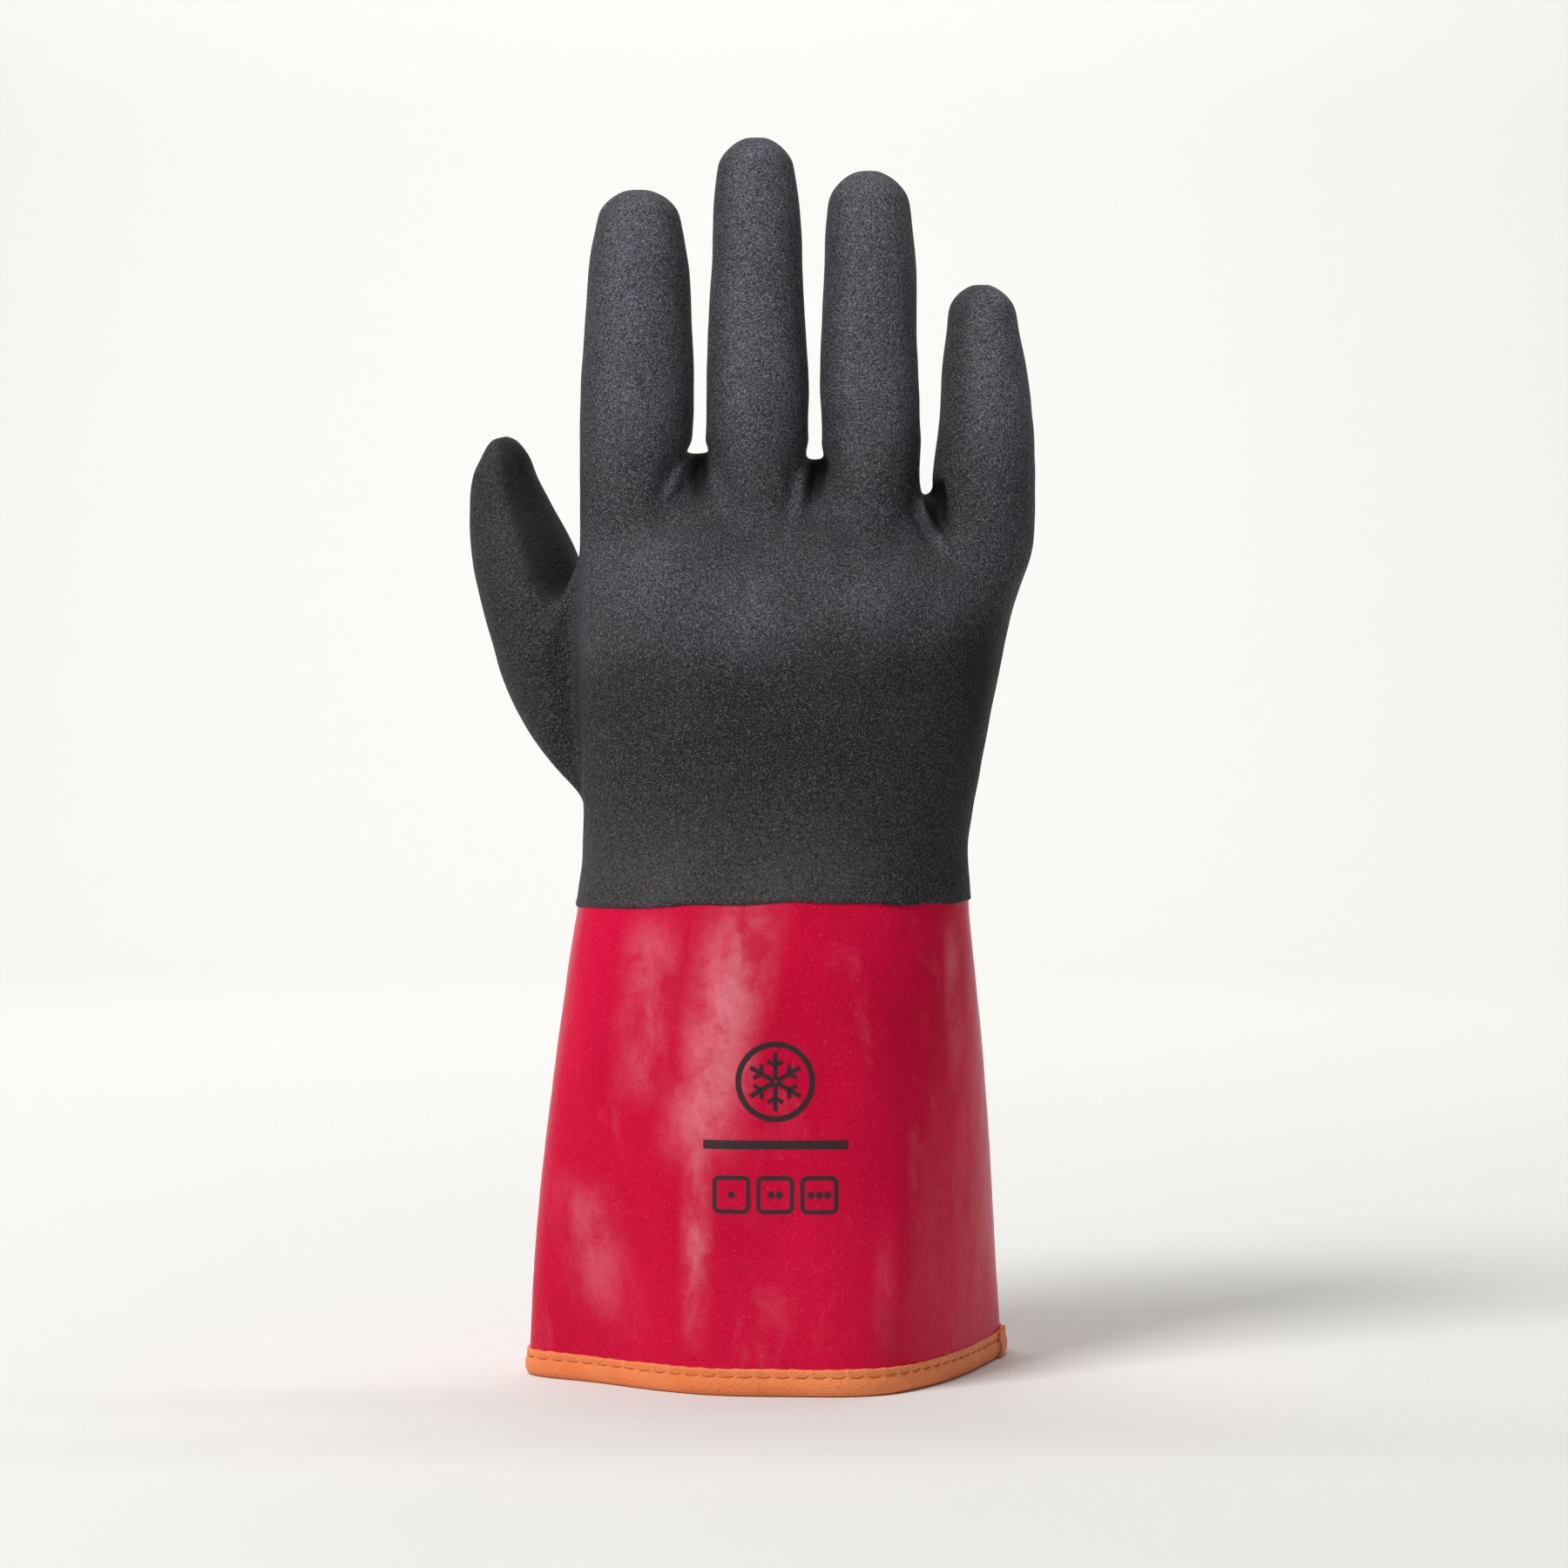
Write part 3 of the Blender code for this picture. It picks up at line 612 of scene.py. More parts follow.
def wear_and_painted_light_at(places, normals):
    """How much dust and painted light the sand takes, from 0 up: painted highlights on the knuckles and
    folds, painted light over the upper back and the fingers, and less of it as painted shade near the
    crotches, on finger flanks and on the thumb.
    """
    x, _, z = places.T
    lower_edge = 171.0 + 5.0 * smooth_between(x, 5.0, 24.0) + 2.0 * bell(x + 30.0, 9.0)
    lower_edge = lower_edge + 7.0 * noise_at(places * (1.0, 1.0, 0.2), 13.0, 8)
    wear_and_painted_light = BACK_PAINTED_LIGHT * smooth_between(z, lower_edge - 5.0, lower_edge + 9.0)
    for kx, kz, swell in KNUCKLES:
        wear_and_painted_light += KNUCKLE_PAINTED_HIGHLIGHT * swell * bell(x - kx, 9.0) * bell(z - kz, 11.0)
    wear_and_painted_light += FINGER_PAINTED_LIGHT * smooth_between(z, 208.0, 238.0)
    for proud, along, off in fold_places(x, z):
        wear_and_painted_light += FOLD_PAINTED_HIGHLIGHT * proud * bell(off, 0.9) * bell(along - 0.5, 0.45)
    # Painted shade: less painted light below each crotch.
    shade = np.zeros(len(places))
    for cx, cz, _ in CROTCHES:
        near = bell(x - cx, 5.0) * smooth_between(z, cz - 26, cz - 6) * (z < cz + 12)
        shade = np.maximum(shade, near)
    wear_and_painted_light *= 1 - CROTCH_SHADE * shade
    # Painted shade: finger flanks that turn from the light, the little finger's left flank most, lose much of
    # their painted light.
    on_little = smooth_between(x, 40.0, 43.0)
    turned = mix(0.35, 0.95, on_little * (x < 66.0))
    facing = smooth_between(np.abs(normals[:, 1]) + turned * normals[:, 0], 0.30, 1.0)
    wear_and_painted_light *= 1 - mix(0.62, 0.85, on_little) * (1 - facing) * smooth_between(z, 196.0, 214.0)
    # Painted shade: the thumb side gets none of the painted light.
    wear_and_painted_light *= smooth_between(x, -52.0, -42.0)
    return np.clip(wear_and_painted_light, 0.0, 1.2)


def shape_details(places, normals):
    """How far each point of the smooth surface stands proud of it, in millimetres."""
    x, y, z = places.T
    back = smooth_between(-normals[:, 1], 0.0, 0.6)
    rise = np.zeros(len(places))
    for kx, kz, swell in KNUCKLES:
        rise += swell * bell(x - kx, 9.0) * bell(z - kz, 13.0) * back
    rise -= CROTCH_DEPTH * crotch_hollow(places) * back
    for proud, along, off in fold_places(x, z):
        ends = smooth_between(along, -0.15, 0.2) * (1 - smooth_between(along, 0.5, 1.1))
        rise += 1.5 * proud * bell(off, 1.1) * ends * back
        rise -= 0.9 * proud * (bell(off - 2.4, 1.4) + bell(off + 2.4, 1.4)) * ends * back
    on_hand = smooth_between(z, 112, 118)
    for proud, across, seed in HAND_UNEVEN:
        rise += proud * noise_at(places, across, seed) * on_hand
    on_cuff = 1 - on_hand
    angle = np.arctan2(y, x)
    stretched = np.column_stack((np.cos(angle) * 30, np.sin(angle) * 30, z * 0.28))
    fade = smooth_between(z, 4, 30) * (1 - 0.4 * smooth_between(z, 90, 112))
    facing = 0.35 + 0.65 * np.abs(normals[:, 1])
    for proud, across, seed in CUFF_WAVES:
        rise += proud * noise_at(stretched, across, seed) * on_cuff * fade * facing
    rise += 0.06 * noise_at(places, 4.0, 5) * on_cuff
    ridge = RIDGE_X + RIDGE_LEAN * z
    ridge_ends = smooth_between(z, 8, 26), 1 - smooth_between(z, 40, 85)
    rise += RIDGE_RISE * bell(x - ridge, RIDGE_WIDTH) * ridge_ends[0] * ridge_ends[1] * back
    return rise


REGIONS = ["cuff", "edge", "wrist", "hand"]
REGIONS += [f"{finger}_{part}" for finger in (*FINGERS, "thumb") for part in ("root", "tip")]
COAT_RISE = 0.5
COAT_SETTLE = 0.3


class Skin:
    """The glove's whole surface at one subdivision level, moved inwards by a depth."""

    def __init__(self, cage, levels, depth=0.0):
        places, quads, self.region = subdivided(cage, REGIONS, levels)
        normals = vertex_normals(places, quads)
        if normals[np.argmin(places[:, 1])][1] > 0:
            quads = quads[:, ::-1]
            normals = -normals
        self.smooth = places
        self.quads = quads
        places = places + normals * (shape_details(places, normals) - depth)[:, None]
        self.places = places
        self.normals = vertex_normals(places, quads)

    def faces_in(self, names):
        wanted = [REGIONS.index(name) for name in names]
        return self.quads[np.isin(self.region, wanted)]


def to_frame(places):
    return (places + HEM_CENTRE) * MM


def finish_piece(name, places, quads, normals, rest, material, smooth=None):
    """An object from some of a skin's faces. It has the whole skin's normals, so its seams don't show."""
    used, order = np.unique(quads, return_inverse=True)
    mesh = make_mesh(name, to_frame(places[used]), order.reshape(quads.shape))
    keep_rest(mesh, to_frame(rest[used]))
    if smooth is not None:
        # Painted shade (crotch hollows, the thumb's inner face, the hand's edge below the little finger) and
        # dust with painted light go into point attributes that the black coat's colour reads.
        painted_shade = np.maximum(crotch_hollow(smooth[used]), THUMB_PAINTED_SHADE * thumb_inside(smooth[used]))
        painted_shade = np.maximum(painted_shade, LITTLE_SIDE_PAINTED_SHADE * little_side(smooth[used]))
        for label, values in (("hollow_and_painted_shade", painted_shade), ("wear_and_painted_light", wear_and_painted_light_at(smooth[used], normals[used]))):
            attribute = mesh.attributes.new(label, "FLOAT", "POINT")
            attribute.data.foreach_set("value", values.astype(np.float32))
    mesh.shade_smooth()
    mesh.normals_split_custom_set_from_vertices(normals[used].tolist())
    return new_object(name, mesh, material)


def keep_rest(mesh, places):
    attribute = mesh.attributes.new("rest", "FLOAT_VECTOR", "POINT")
    attribute.data.foreach_set("vector", np.asarray(places, np.float32).ravel())


def rest_mesh(name, places, faces):
    """A mesh in the row frame that keeps its places at rest, which its material reads."""
    places = to_frame(np.asarray(places))
    mesh = make_mesh(name, places, faces)
    keep_rest(mesh, places)
    return mesh


def face_outwards(mesh):
    bm = bmesh.new()
    bm.from_mesh(mesh)
    bmesh.ops.recalc_face_normals(bm, faces=bm.faces)
    bm.to_mesh(mesh)
    bm.free()


# --- materials ---


class Nodes:
    """A short way to write a node tree."""

    def __init__(self, name):
        self.material = bpy.data.materials.new(name)
        self.material.use_nodes = True
        self.tree = self.material.node_tree
        self.shader = self.tree.nodes["Principled BSDF"]
        rest = self.add("ShaderNodeAttribute")
        rest.attribute_name = "rest"
        self.rest = rest.outputs["Vector"]

    def add(self, kind, **values):
        node = self.tree.nodes.new(kind)
        for key, value in values.items():
            setattr(node, key, value)
        return node

    def link(self, source, target):
        self.tree.links.new(source, target)

    def set(self, socket, value):
        self.shader.inputs[socket].default_value = value

    def feed(self, socket, source):
        self.link(source, self.shader.inputs[socket])

    def attribute(self, name):
        return self.add("ShaderNodeAttribute", attribute_name=name).outputs["Fac"]

    def axes(self):
        node = self.add("ShaderNodeSeparateXYZ")
        self.link(self.rest, node.inputs["Vector"])
        return node.outputs

    def wave(self, direction, scale, distortion=0.0):
        node = self.add("ShaderNodeTexWave", bands_direction=direction)
        node.inputs["Scale"].default_value = scale
        node.inputs["Distortion"].default_value = distortion
        self.link(self.rest, node.inputs["Vector"])
        return node.outputs["Fac"]

    def noise(self, scale, detail=2.0, rough=0.5, vector=None, distortion=0.0):
        node = self.add("ShaderNodeTexNoise")
        node.inputs["Scale"].default_value = scale
        node.inputs["Detail"].default_value = detail
        node.inputs["Roughness"].default_value = rough
        node.inputs["Distortion"].default_value = distortion
        self.link(vector or self.rest, node.inputs["Vector"])
        return node.outputs["Fac"]

    def voronoi(self, scale):
        node = self.add("ShaderNodeTexVoronoi", feature="F1")
        node.inputs["Scale"].default_value = scale
        self.link(self.rest, node.inputs["Vector"])
        return node.outputs["Distance"]

    def stretched(self, scale):
        node = self.add("ShaderNodeVectorMath", operation="MULTIPLY")
        self.link(self.rest, node.inputs[0])
        node.inputs[1].default_value = scale
        return node.outputs["Vector"]

    def ramp(self, value, low, high, out_low=0.0, out_high=1.0):
        node = self.add("ShaderNodeMapRange", interpolation_type="SMOOTHSTEP")
        self.link(value, node.inputs["Value"])
        limits = (("From Min", low), ("From Max", high), ("To Min", out_low), ("To Max", out_high))
        for key, number in limits:
            node.inputs[key].default_value = number
        return node.outputs["Result"]

    def math(self, operation, *values):
        node = self.add("ShaderNodeMath", operation=operation)
        for socket, value in zip(node.inputs, values):
            if isinstance(value, (int, float)):
                socket.default_value = value
            else:
                self.link(value, socket)
        return node.outputs[0]

    def times(self, a, b):
        return self.math("MULTIPLY", a, b)

    def blend(self, factor, a, b):
        node = self.add("ShaderNodeMix", data_type="RGBA")
        self.link(factor, node.inputs["Factor"])
        for socket, value in ((node.inputs[6], a), (node.inputs[7], b)):
            if isinstance(value, tuple):
                socket.default_value = (*value, 1)
            else:
                self.link(value, socket)
        return node.outputs[2]

    def bump(self, height, distance, strength, below=None):
        node = self.add("ShaderNodeBump")
        node.inputs["Distance"].default_value = distance
        node.inputs["Strength"].default_value = strength
        self.link(height, node.inputs["Height"])
        if below is not None:
            self.link(below, node.inputs["Normal"])
        return node.outputs["Normal"]


def black_material():
    m = Nodes("sandy_black_coat")
    place = m.axes()
    cloud = m.noise(42.0, 3.0, 0.6)
    tint = m.noise(90.0, 3.0, 0.6)
    pebble = m.noise(1150.0, 2.0, 0.6)
    sand = m.noise(2600.0, 2.0, 0.7)
    speck = m.ramp(m.noise(3000.0, 1.0, 0.5), 0.62, 0.72)
    patch = m.ramp(m.noise(60.0, 3.0, 0.6), 0.45, 0.65)
    # Dust with painted light: where this attribute is high, the black takes a lighter, bluer tone and
    # brighter sand grains.
    wear_and_painted_light = m.times(m.attribute("wear_and_painted_light"), m.ramp(cloud, 0.25, 0.6, 0.72, 1.08))
    # Lighter towards the coat's lower edge and towards the left side.
    near_edge = m.ramp(place["Z"], 0.112, 0.150, 1.0, 0.0)
    lighter_lower_left = m.times(near_edge, m.ramp(place["X"], 0.018, 0.044, 1.0, 0.0))
    lighter_lower_left = m.times(lighter_lower_left, m.ramp(cloud, 0.3, 0.6, 0.6, 1.0))
    base_black = m.blend(m.ramp(cloud, 0.35, 0.65), (0.0150, 0.0130, 0.0146), (0.0215, 0.0185, 0.0210))
    base_black = m.blend(lighter_lower_left, base_black, (0.058, 0.051, 0.055))
    dust_and_light_tone = m.blend(m.ramp(tint, 0.4, 0.6), (0.098, 0.090, 0.106), (0.094, 0.089, 0.117))
    tone = m.blend(wear_and_painted_light, base_black, dust_and_light_tone)
    tone = m.blend(m.ramp(pebble, 0.25, 0.62, 0.45, 0.0), tone, (0.006, 0.0055, 0.0065))
    tone = m.blend(m.ramp(sand, 0.32, 0.50, 0.85, 0.0), tone, (0.004, 0.0035, 0.0045))
    bright = m.blend(wear_and_painted_light, (0.115, 0.105, 0.118), (0.275, 0.258, 0.302))
    tone = m.blend(m.ramp(sand, 0.50, 0.66, 0.0, 0.85), tone, bright)
    tone = m.blend(m.times(speck, m.ramp(patch, 0.0, 1.0, 0.12, 0.35)), tone, (0.22, 0.22, 0.235))
    # Painted shade: the colour goes near black in the crotch hollows, on the thumb's inner face and on the
    # hand's edge below the little finger.
    tone = m.blend(m.ramp(m.attribute("hollow_and_painted_shade"), 0.0, 0.8, 0.0, 0.95), tone, (0.002, 0.002, 0.0025))
    m.feed("Base Color", tone)
    m.feed("Roughness", m.ramp(pebble, 0.3, 0.7, 0.72, 0.58))
    m.feed("Normal", m.bump(sand, 0.00022, 0.9, m.bump(pebble, 0.00040, 0.9)))
    m.set("Specular IOR Level", 0.18)
    return m.material


# Chalky dust streak with a painted highlight on the red coat; the thin one at the right edge is a painted
# reflection: x and z of its upper end, x and z of its lower end, half width, strength.
DUST_AND_HIGHLIGHT_STREAKS = (
    (0.0000, 0.116, -0.0110, 0.056, 0.0135, 0.90),
    (-0.0105, 0.062, -0.0120, 0.014, 0.0050, 0.80),
    (-0.0210, 0.112, -0.0250, 0.070, 0.0100, 0.50),
    (-0.0400, 0.050, -0.0330, 0.016, 0.0120, 0.40),
    (0.0490, 0.110, 0.0500, 0.074, 0.0030, 0.60),
    (0.0330, 0.040, 0.0320, 0.012, 0.0040, 0.25),
)


def red_material():
    m = Nodes("glossy_red_pvc")
    place = m.axes()
    grain = m.noise(1500.0, 2.0, 0.5)
    blotch = m.noise(85.0, 7.0, 0.62, m.stretched((1.0, 1.0, 0.6)), 0.3)
    # Dust with painted highlights: soft pale blotches, chalky streaks on the front, and a thin painted
    # reflection at the right edge.
    dust_and_highlight_marks = m.ramp(blotch, 0.55, 0.80, 0.0, 0.22)
    front = m.ramp(place["Y"], -0.012, -0.002, 1.0, 0.0)
    for x_top, z_top, x_low, z_low, half, strength in DUST_AND_HIGHLIGHT_STREAKS:
        slope = (x_top - x_low) / (z_top - z_low)
        middle = m.math("MULTIPLY_ADD", place["Z"], slope, x_low - slope * z_low)
        off = m.math("ABSOLUTE", m.math("SUBTRACT", place["X"], middle))
        band = m.ramp(off, 0.0, half, strength, 0.0)
        above = m.ramp(place["Z"], z_low - 0.008, z_low + 0.012)
        below = m.ramp(place["Z"], z_top - 0.012, z_top + 0.004, 1.0, 0.0)
        band = m.times(m.times(band, front), m.times(above, below))
        dust_and_highlight_marks = m.math("MAXIMUM", dust_and_highlight_marks, m.times(band, m.ramp(blotch, 0.34, 0.62, 0.15, 1.0)))
    dust_and_highlight = m.times(dust_and_highlight_marks, m.ramp(m.noise(420.0, 4.0, 0.7), 0.2, 0.6, 0.6, 1.0))
    fleck = m.ramp(m.noise(1300.0, 3.0, 0.7), 0.60, 0.70)
    red = m.blend(m.ramp(m.noise(16.0, 2.0), 0.35, 0.65), (0.61, 0.0045, 0.045), (0.70, 0.0065, 0.058))
    red = m.blend(m.ramp(m.noise(2400.0, 2.0, 0.7), 0.34, 0.6, 0.5, 0.0), red, (0.36, 0.001, 0.018))
    red = m.blend(m.times(fleck, 0.09), red, (0.80, 0.30, 0.34))
    # Dust and painted highlights lighten the red towards pale pink.
    red = m.blend(m.times(dust_and_highlight, 0.55), red, (0.86, 0.36, 0.42))
    m.feed("Base Color", red)
    m.feed("Roughness", m.ramp(dust_and_highlight, 0.0, 1.0, 0.30, 0.5))
    m.feed("Normal", m.bump(grain, 0.00012, 0.8, m.bump(m.noise(190.0, 2.0), 0.0004, 0.5)))
    m.set("Specular IOR Level", 0.06)
    return m.material


def tape_material():
    m = Nodes("orange_binding_tape")
    cells = m.voronoi(1500.0)
    grain = m.noise(900.0, 3.0, 0.6)
    tone = m.blend(m.ramp(m.noise(60.0, 2.0), 0.3, 0.7), (0.82, 0.215, 0.065), (0.90, 0.27, 0.09))
    tone = m.blend(m.ramp(grain, 0.2, 0.5, 0.25, 0.0), tone, (0.55, 0.13, 0.03))
    m.feed("Base Color", tone)
    m.set("Roughness", 0.55)
    m.feed("Normal", m.bump(cells, 0.0002, 0.6, m.bump(grain, 0.0003, 0.8)))
    m.set("Specular IOR Level", 0.3)
    return m.material


def thread_material():
    m = Nodes("orange_thread")
    twist = m.wave("DIAGONAL", 900.0)
    m.feed("Base Color", m.blend(twist, (0.47, 0.105, 0.024), (0.68, 0.19, 0.052)))
    m.feed("Normal", m.bump(twist, 0.0001, 0.8))
    m.set("Roughness", 0.8)
    m.set("Specular IOR Level", 0.2)
    return m.material


def knit_material(name, colour):
    m = Nodes(name)
    wales = m.wave("X", 150.0, 0.4)
    courses = m.wave("Z", 210.0, 0.4)
    loops = m.times(wales, courses)
    fuzz = m.noise(1100.0, 3.0, 0.7)
    shade = tuple(c * 0.6 for c in colour)
    m.feed("Base Color", m.blend(m.ramp(loops, 0.0, 0.6), shade, colour))
    m.feed("Normal", m.bump(fuzz, 0.0002, 0.6, m.bump(loops, 0.0007, 0.9)))
    m.set("Roughness", 0.95)
    m.set("Sheen Weight", 0.35)
    return m.material


def ink_material():
    m = Nodes("black_ink")
    wear = m.ramp(m.noise(900.0, 3.0, 0.7), 0.3, 0.5)
    m.feed("Base Color", m.blend(wear, (0.06, 0.006, 0.010), (0.016, 0.012, 0.013)))
    m.feed("Normal", m.bump(m.noise(1300.0, 2.0), 0.0001, 0.6))
    m.set("Roughness", 0.45)
    return m.material


BLACK = black_material()
RED = red_material()
TAPE = tape_material()
THREAD = thread_material()
KNIT = knit_material("knit_liner_wool", (0.66, 0.64, 0.58))
BACKING = knit_material("cuff_backing_cloth", (0.72, 0.70, 0.64))
INK = ink_material()
PALE_THREAD = knit_material("pale_thread", (0.72, 0.64, 0.56))

# --- the coats and liners ---

cage = glove_cage()
skin = Skin(cage, SURFACE_LEVEL)
lining = Skin(cage, LINER_LEVEL, LINER_DEPTH)


def coat_places(skin):
    """The black coat's points: proud of the red coat, with a rounded lip at its lower edge."""
    edge = np.array([coat_edge_z(p) for p in skin.smooth])
    above = skin.smooth[:, 2] - edge
    lip = np.clip((above + 0.02) / 0.75, 0, 1)
    settle = COAT_SETTLE * smooth_between(above, 3.0, 12.0)
    rise = COAT_RISE * np.sqrt(1 - (1 - lip) ** 2) - 0.12 * (above <= 0.02) - settle
    bead = 0.10 * np.exp(-(((above - 1.0) / 0.7) ** 2))
    return skin.places + skin.normals * (rise + bead)[:, None]


# Each skin region meant to bend: its two bodies, and where the bend starts and ends, clear of the seams at
# the region's ends, because a seam moves with one body only. Nothing is bent here: bend() only bakes each
# piece's transform.
SEAM_CLEAR = 1.0
WEB_CLEAR = 0.3
THUMB_BENDS = (("root", "hand", 0.0, 0.3, 8.6), ("tip", "thumb_base", THUMB_CREASE, -5.0, 6.0))
BENDS = {
    "wrist": ("cuff", "wrist", (0, 0, 97.0), (0, 0, 129.5)),
    "hand": ("wrist", "hand", (0, 0, 130.5), (0, 0, 163.0)),
}
for finger, (left_web, right_web, knuckle, middle, _, _) in FINGERS.items():
    seam_z = (knuckle + middle) / 2
    root_ends = (0, 0, max(left_web, right_web) + WEB_CLEAR), (0, 0, seam_z - SEAM_CLEAR)
    tip_ends = (0, 0, seam_z + SEAM_CLEAR), (0, 0, 2 * middle - seam_z - SEAM_CLEAR)
    BENDS[finger + "_root"] = ("hand", finger + "_base", *root_ends)
    BENDS[finger + "_tip"] = (finger + "_base", finger + "_tip", *tip_ends)
for part, below, station, first, last in THUMB_BENDS:
    centre, _, along, _, _ = thumb_frame(station)
    above = "thumb_base" if part == "root" else "thumb_tip"
    BENDS["thumb_" + part] = (below, above, tuple(centre + along * first), tuple(centre + along * last))


def bend(obj, key):
    a, b, start, end = BENDS[key]
    start, end = (tuple(to_frame(np.array(p))) for p in (start, end))
    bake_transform(obj)


coat = coat_places(skin)
coat_normals = vertex_normals(coat, skin.quads)
HAND_COATS = ("hand_outer_coat", "hand_base_coat", "wrist_outer_coat", "wrist_base_coat")
# The CAD nodes that each region's coat and liner replace.
REPLACED = {
    "wrist": (("coat_hem_outer_coat",), ()),
    "hand": (HAND_COATS, ("hand_liner", "wrist_liner")),
}
for key, (_, body, _, _) in BENDS.items():
    REPLACED.setdefault(key, ((f"{body}_outer_coat", f"{body}_base_coat"), (f"{body}_liner",)))

for key in BENDS:
    names = ("edge", "wrist") if key == "wrist" else (key,)
    piece = finish_piece(
        f"{key}_coat", coat, skin.faces_in(names), coat_normals, skin.places, BLACK, skin.smooth
    )
    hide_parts(*REPLACED[key][0])
    bend(piece, key)
    if key == "wrist":
        continue
    inside = finish_piece(
        f"{key}_knit", lining.places, lining.faces_in(names)[:, ::-1], -lining.normals, lining.places, KNIT
    )
    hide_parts(*REPLACED[key][1])
    bend(inside, key)

red_faces = skin.faces_in(("cuff", "edge"))
red = finish_piece("red_cuff_coat", skin.places, red_faces, skin.normals, skin.places, RED)
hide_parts("cuff_base_coat")
bend(red, "wrist")

backing_faces = lining.faces_in(("cuff", "edge", "wrist"))[:, ::-1]
backing = finish_piece(
    "cuff_backing", lining.places, backing_faces, -lining.normals, lining.places, BACKING
)
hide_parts("cuff_fabric_lining")
bend(backing, "wrist")

# --- the binding ---

HOOP_POINTS = 612
STITCH_PITCH = 4.3
STITCH_LENGTH = 3.3
STITCH_HEIGHT = 4.75
TAPE_TOP = 6.3
THREAD_RADIUS = 0.21
THREAD_END_RADIUS = 0.2
NEEDLE_OUT = 0.60
BOBBIN_OUT = -3.58


def hem_outline():
    """The red surface at the hem: points, outward normals, length, and each point's place along it."""
    turns = np.linspace(0, 2 * math.pi, 4 * HOOP_POINTS, endpoint=False)
    line = np.array([tuple(section_point(t, 0.0)) for t in turns])
    closed = np.vstack((line, line[:1]))
    length = np.concatenate(([0], np.cumsum(np.linalg.norm(np.diff(closed, axis=0), axis=1))))
    at = np.linspace(0, length[-1], HOOP_POINTS, endpoint=False)
    line = np.column_stack([np.interp(at, length, closed[:, k]) for k in range(3)])
    along = np.roll(line, -1, axis=0) - np.roll(line, 1, axis=0)
    along /= np.linalg.norm(along, axis=1, keepdims=True)
    out = np.column_stack((along[:, 1], -along[:, 0], np.zeros(HOOP_POINTS)))
    if (out * (line - line.mean(0))).sum() < 0:
        out = -out
    return line, out, length[-1], at


hem_line, hem_out, hem_length, hem_at = hem_outline()
STITCHES = round(hem_length / STITCH_PITCH)


def stitch_phase(at):
    """Where a place along the hem lies in its stitch: -0.5 to 0.5, with 0 at the stitch's middle."""
    return (at / hem_length * STITCHES + 0.5) % 1 - 0.5


def tape_section(i):
    """The tape's section at a place along the hem as (outward, height), from outer lip to inner lip."""
    at = hem_at[i]
    phase = stitch_phase(at)
    pull = math.exp(-((phase / 0.42) ** 4))
    waver = noise.noise(Vector((at * 0.05, 3.1, 0.0))) * 0.35
    waver += noise.noise(Vector((at * 0.4, 7.7, 0.0))) * 0.12
    top = TAPE_TOP + waver + 0.16 * (1 - pull)
    sunk = 0.3 * pull
    belly = 0.12 * noise.noise(Vector((at * 0.12, 1.4, 2.0)))
    side, bulge = 0.84 - sunk * 0.5, 0.92 + belly
    return [
        (0.16, top - 0.05), (0.42, top), (0.68, top - 0.12), (0.80, top - 0.5),
        (side, STITCH_HEIGHT + 0.6), (0.82 - sunk, STITCH_HEIGHT), (side, STITCH_HEIGHT - 0.6),
        (0.94 + belly, STITCH_HEIGHT - 1.4), (bulge, 2.4), (0.74 + belly, 1.3), (0.36, 0.55), (-0.2, 0.14),
        (-1.0, 0.0), (-1.9, 0.0), (-2.8, 0.12), (-3.4, 0.5), (-3.75, 1.2), (-3.85, 2.4),
        (-3.8, STITCH_HEIGHT - 0.6), (-3.7 + sunk * 0.6, STITCH_HEIGHT), (-3.75, STITCH_HEIGHT + 0.6),
        (-3.7, top - 0.4), (-3.5, top - 0.1), (-3.2, top - 0.2), (-3.05, top - 0.6), (-3.05, 1.4),
        (-0.2, 1.4), (0.12, top - 0.7),
    ]


def hoop_place(i, outward, z):
    """A point beside the cuff's outer surface at a place along the hem."""
    lean = (np.array(SECTIONS[1][1:3]) - np.array(SECTIONS[0][1:3])) / SECTIONS[1][0]
    shrink = z * 0.5 * (lean[0] - lean[1])
    return hem_line[i] + hem_out[i] * (outward - shrink) + np.array((0, 0, z))


def band_faces(rows, sides, closed):
    """Quads between closed rows of points, each with this many points."""
    faces = []
    for i in range(rows if closed else rows - 1):
        j = (i + 1) % rows
        for k in range(sides):
            q = (k + 1) % sides
            faces.append((i * sides + k, j * sides + k, j * sides + q, i * sides + q))
    return faces


def add_hoop():
    sections = [tape_section(i) for i in range(HOOP_POINTS)]
    places = [hoop_place(i, d, z) for i, section in enumerate(sections) for d, z in section]
    mesh = rest_mesh("binding_tape", places, band_faces(HOOP_POINTS, len(sections[0]), closed=True))
    face_outwards(mesh)
    mesh.shade_smooth()
    return new_object("binding_tape", mesh, TAPE)


tape = add_hoop()
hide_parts("hem_binding")
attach(tape, "cuff")


